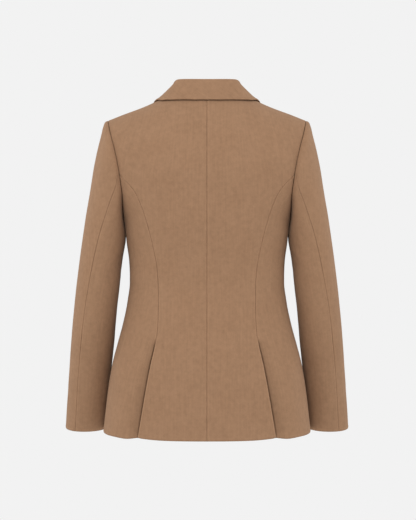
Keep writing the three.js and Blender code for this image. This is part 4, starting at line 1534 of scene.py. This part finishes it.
# A turned disc, as far inside its radius and as high as each ring: a low rim, a dished middle, four holes
BUTTON_SIDES, BUTTON_SEAT = 96, 0.95
BUTTON_RINGS = (
    (1.6, 0.0),
    (0.5, 0.25),
    (0.0, 1.1),
    (0.0, 2.0),
    (0.35, 2.9),
    (1.1, 3.35),
    (2.0, 3.2),
    (3.0, 2.6),
    (4.2, 2.35),
)
HOLE_PLACE, HOLE_RADIUS = 2.4, 0.95
STRANDS, STRAND_RADIUS, STALK_RADIUS = (-0.42, 0, 0.42), 0.28, 1.3
BUTTONHOLE, BUTTONHOLE_RADIUS, STITCHES, STITCH_RADIUS = 19, 1.3, 46, 0.26


def polar(radius, angle):
    return radius * math.cos(angle), radius * math.sin(angle)


def ring_walls(first, second):
    """The faces all round between two rings."""
    after = [(n + 1) % len(first) for n in range(len(first))]
    return [[first[n], first[m], second[m], second[n]] for n, m in enumerate(after)]


def button_face(at, ring, rim, verts, faces, back=False):
    """The flat middle of the button round its four holes: four quarters, each a ring about a hole."""
    radius, height = ring
    per, straight = BUTTON_SIDES // 4, 6

    def add(place):
        verts.append(at(*place, height))
        return len(verts) - 1, place

    centre, holes = add((0.0, 0.0)), []
    for quarter in range(4):
        start, end = quarter * math.pi / 2, (quarter + 1) * math.pi / 2
        steps = [(quarter * per + n) % BUTTON_SIDES for n in range(per + 1)]
        outline = [(rim[n], polar(radius, n * 2 * math.pi / BUTTON_SIDES)) for n in steps]
        outline += [add(polar(radius * (1 - n / straight), end)) for n in range(1, straight)]
        outline += [centre]
        outline += [add(polar(radius * n / straight, start)) for n in range(1, straight)]
        x, y = polar(HOLE_PLACE * math.sqrt(2), math.pi / 4 + start)
        hole = []
        for _, (px, py) in outline:
            dx, dy = polar(HOLE_RADIUS, math.atan2(py - y, px - x))
            hole.append(add((x + dx, y + dy))[0])
        walls = ring_walls([number for number, _ in outline], hole)
        faces += [face[::-1] for face in walls] if back else walls
        holes.append(hole)
    return holes


def button_disc(at, radius):
    turn = np.arange(BUTTON_SIDES) * 2 * math.pi / BUTTON_SIDES
    rings = [(radius - inside, height) for inside, height in BUTTON_RINGS]
    verts = [at(*polar(r, a), height) for r, height in rings for a in turn]
    number = np.arange(len(verts)).reshape(-1, BUTTON_SIDES).tolist()
    faces = [face for low, high in zip(number, number[1:]) for face in ring_walls(low, high)]
    fronts = button_face(at, rings[-1], number[-1], verts, faces)
    backs = button_face(at, rings[0], number[0], verts, faces, back=True)
    for front, back in zip(fronts, backs):
        faces += ring_walls(front, back)
    return np.array(verts), faces, None


def button_thread(at):
    """Two bars of three strands over the button's face, and the wound stalk below it."""
    strands, stalk = [], []
    for sign in (-1, 1):
        for shift in STRANDS:
            path = []
            for t in np.linspace(0, 1, 17):
                dip = 2.4 * (max(0, abs(2 * t - 1) - 0.8) / 0.2)
                lift = 2.75 + 0.35 * math.sin(math.pi * t) - dip
                path.append(at(HOLE_PLACE * (2 * t - 1), sign * HOLE_PLACE + shift, lift))
            strands.append(tube(path, STRAND_RADIUS))
    for t in np.linspace(0, 1, 9):
        stalk.append(at(0.3 * math.sin(t * 20), 0.3 * math.cos(t * 20), -0.9 + 1.3 * t))
    return joined(strands + [tube(stalk, STALK_RADIUS, 12)])


def on_front(x, z):
    """A point of the right front, from the world's own x, and the way out there."""
    p, n = facing(front_face(1), np.array([-x], float), np.array([z], float))
    return p[0] * (-1, 1, 1), n[0] * (-1, 1, 1)


def buttonhole_place(t):
    """A place on the buttonhole's long narrow ring, from the button's middle towards the front's body."""
    half, run = divmod((t % 1) * 4, 2)
    if run < 1.8:
        a, b = BUTTONHOLE * run / 1.8 - BUTTONHOLE, BUTTONHOLE_RADIUS
    else:
        a, b = polar(BUTTONHOLE_RADIUS, math.pi / 2 - math.pi * (run - 1.8) / 0.2)
    return (-BUTTONHOLE - a, -b) if half else (a, b)


def buttonhole_stitches():
    """Short stitches across the ring, each a little out of line."""
    stitches, half = [], BUTTONHOLE / 2
    for n, t in enumerate(np.linspace(0, 1, STITCHES, endpoint=False)):
        a, b = buttonhole_place(t)
        across = np.array([a + half, b]) if abs(a + half) > half else np.array([0, b])
        across = across / max(1e-6, np.linalg.norm(across))
        path = []
        for t in np.linspace(-1, 1, 7):
            x, z = (a, BUTTON_HEIGHT + b) + across * (t * 0.8 + 0.12 * math.sin(n * 12.9))
            place, out = on_front(x, z)
            path.append(place + out * (0.05 + 0.42 * (1 - t * t)))
        stitches.append(tube(path, STITCH_RADIUS, 6))
    return joined(stitches)


class JACKET_OT_button(bpy.types.Operator):
    """Finishes the button, its thread and the buttonhole"""

    bl_idname = "jacket.button"
    bl_label = "Button and buttonhole"

    def execute(self, context):
        look = context.scene.jacket_look
        horn = kept("brown_horn", horn_finish, look)
        thread = kept("sewing_thread", thread_finish, look)
        seat, out = on_front(0, BUTTON_HEIGHT)
        up = unit(np.cross(out, (1, 0, 0)))
        right = np.cross(up, out)

        def at(a, b, c):
            return seat + right * a + up * b + out * (c + BUTTON_SEAT)

        disc = button_disc(at, context.scene.jacket_cut.button_radius * 1000)
        piece = make_piece("button_disc", disc, horn)
        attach(piece, "root")
        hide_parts("button")
        sewn = {"button_thread": button_thread(at), "buttonhole_stitches": buttonhole_stitches()}
        for name, parts in sewn.items():
            piece = make_piece(name, parts, thread)
            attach(piece, "root")
        return {"FINISHED"}


def looking(place, target):
    way = Vector(target) - Vector(place)
    return way.to_track_quat("-Z", "Y").to_euler()


SENSOR, PHOTO_HEIGHT = 36, 520


class JACKET_OT_stage(bpy.types.Operator):
    """Sets up the floor, the soft lights and the camera"""

    bl_idname = "jacket.stage"
    bl_label = "Studio"

    def execute(self, context):
        scene = context.scene
        studio = scene.jacket_studio
        backdrop = tuple(studio.backdrop)
        # The floor is round, and ends before it would come into the camera's picture
        turns = np.linspace(0, 2 * math.pi, 96, endpoint=False)
        rim = [(*polar(FLOOR_RADIUS, turn), studio.floor) for turn in turns]
        mesh = bpy.data.meshes.new("floor")
        mesh.from_pydata(rim, [], [list(range(len(rim)))])
        mesh.materials.append(kept("studio_floor", studio_finish, backdrop))
        placed("floor", mesh)
        scene.world = studio_air(backdrop, studio)
        scene.view_settings.view_transform = "Standard"
        lights = (
            ("key", (0.2, 2.65, 1.05), (0, 0, -0.2), 1.8, studio.key),
            ("fill", (-0.3, 3.0, -0.4), (0, 0, -0.35), 1.6, studio.key * 0.02),
        )
        for name, place, target, size, power in lights:
            light = bpy.data.lights.new(name, "AREA")
            light.shape, light.size, light.energy = "DISK", size, power
            lamp = placed(name, light)
            lamp.location, lamp.rotation_euler = place, looking(place, target)
        # The camera stands level behind the garment, where the photograph was taken from
        distance, height, one_pixel = 2.2, -0.3159, 0.00195
        lens = bpy.data.cameras.new("camera")
        lens.sensor_width = SENSOR
        lens.lens = SENSOR * distance / (PHOTO_HEIGHT * one_pixel)
        lens.clip_end = 100
        camera = placed("camera", lens)
        camera.location = (-one_pixel, distance, height)
        camera.rotation_euler = looking(camera.location, (-one_pixel, 0, height))
        scene.camera = camera
        return {"FINISHED"}


class JACKET_PT_panel(bpy.types.Panel):
    """Lists the jacket's sizes, colours and steps"""

    bl_label = "Fitted jacket"
    bl_idname = "JACKET_PT_panel"
    bl_space_type = "VIEW_3D"
    bl_region_type = "UI"
    bl_category = "Jacket"

    def draw(self, context):
        layout = self.layout
        for group in (context.scene.jacket_cut, context.scene.jacket_look, context.scene.jacket_studio):
            box = layout.box()
            for name in group.__annotations__:
                box.prop(group, name)
        for step in STEPS:
            layout.operator(step.bl_idname)


STEPS = (
    JACKET_OT_backs,
    JACKET_OT_sides,
    JACKET_OT_fronts,
    JACKET_OT_lapels,
    JACKET_OT_collar,
    JACKET_OT_sleeves,
    JACKET_OT_button,
    JACKET_OT_stage,
)
GROUPS = {"jacket_cut": CutSizes, "jacket_look": ClothLook, "jacket_studio": StudioLook}


def register():
    for kind in (*GROUPS.values(), *STEPS, JACKET_PT_panel):
        bpy.utils.register_class(kind)
    for name, kind in GROUPS.items():
        setattr(bpy.types.Scene, name, bpy.props.PointerProperty(type=kind))


def unregister():
    for name in GROUPS:
        delattr(bpy.types.Scene, name)
    for kind in (JACKET_PT_panel, *reversed(STEPS), *GROUPS.values()):
        bpy.utils.unregister_class(kind)


def main():
    register()
    for step in STEPS:
        group, name = step.bl_idname.split(".")
        getattr(getattr(bpy.ops, group), name)()
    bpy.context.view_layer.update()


if __name__ == "__main__":
    main()
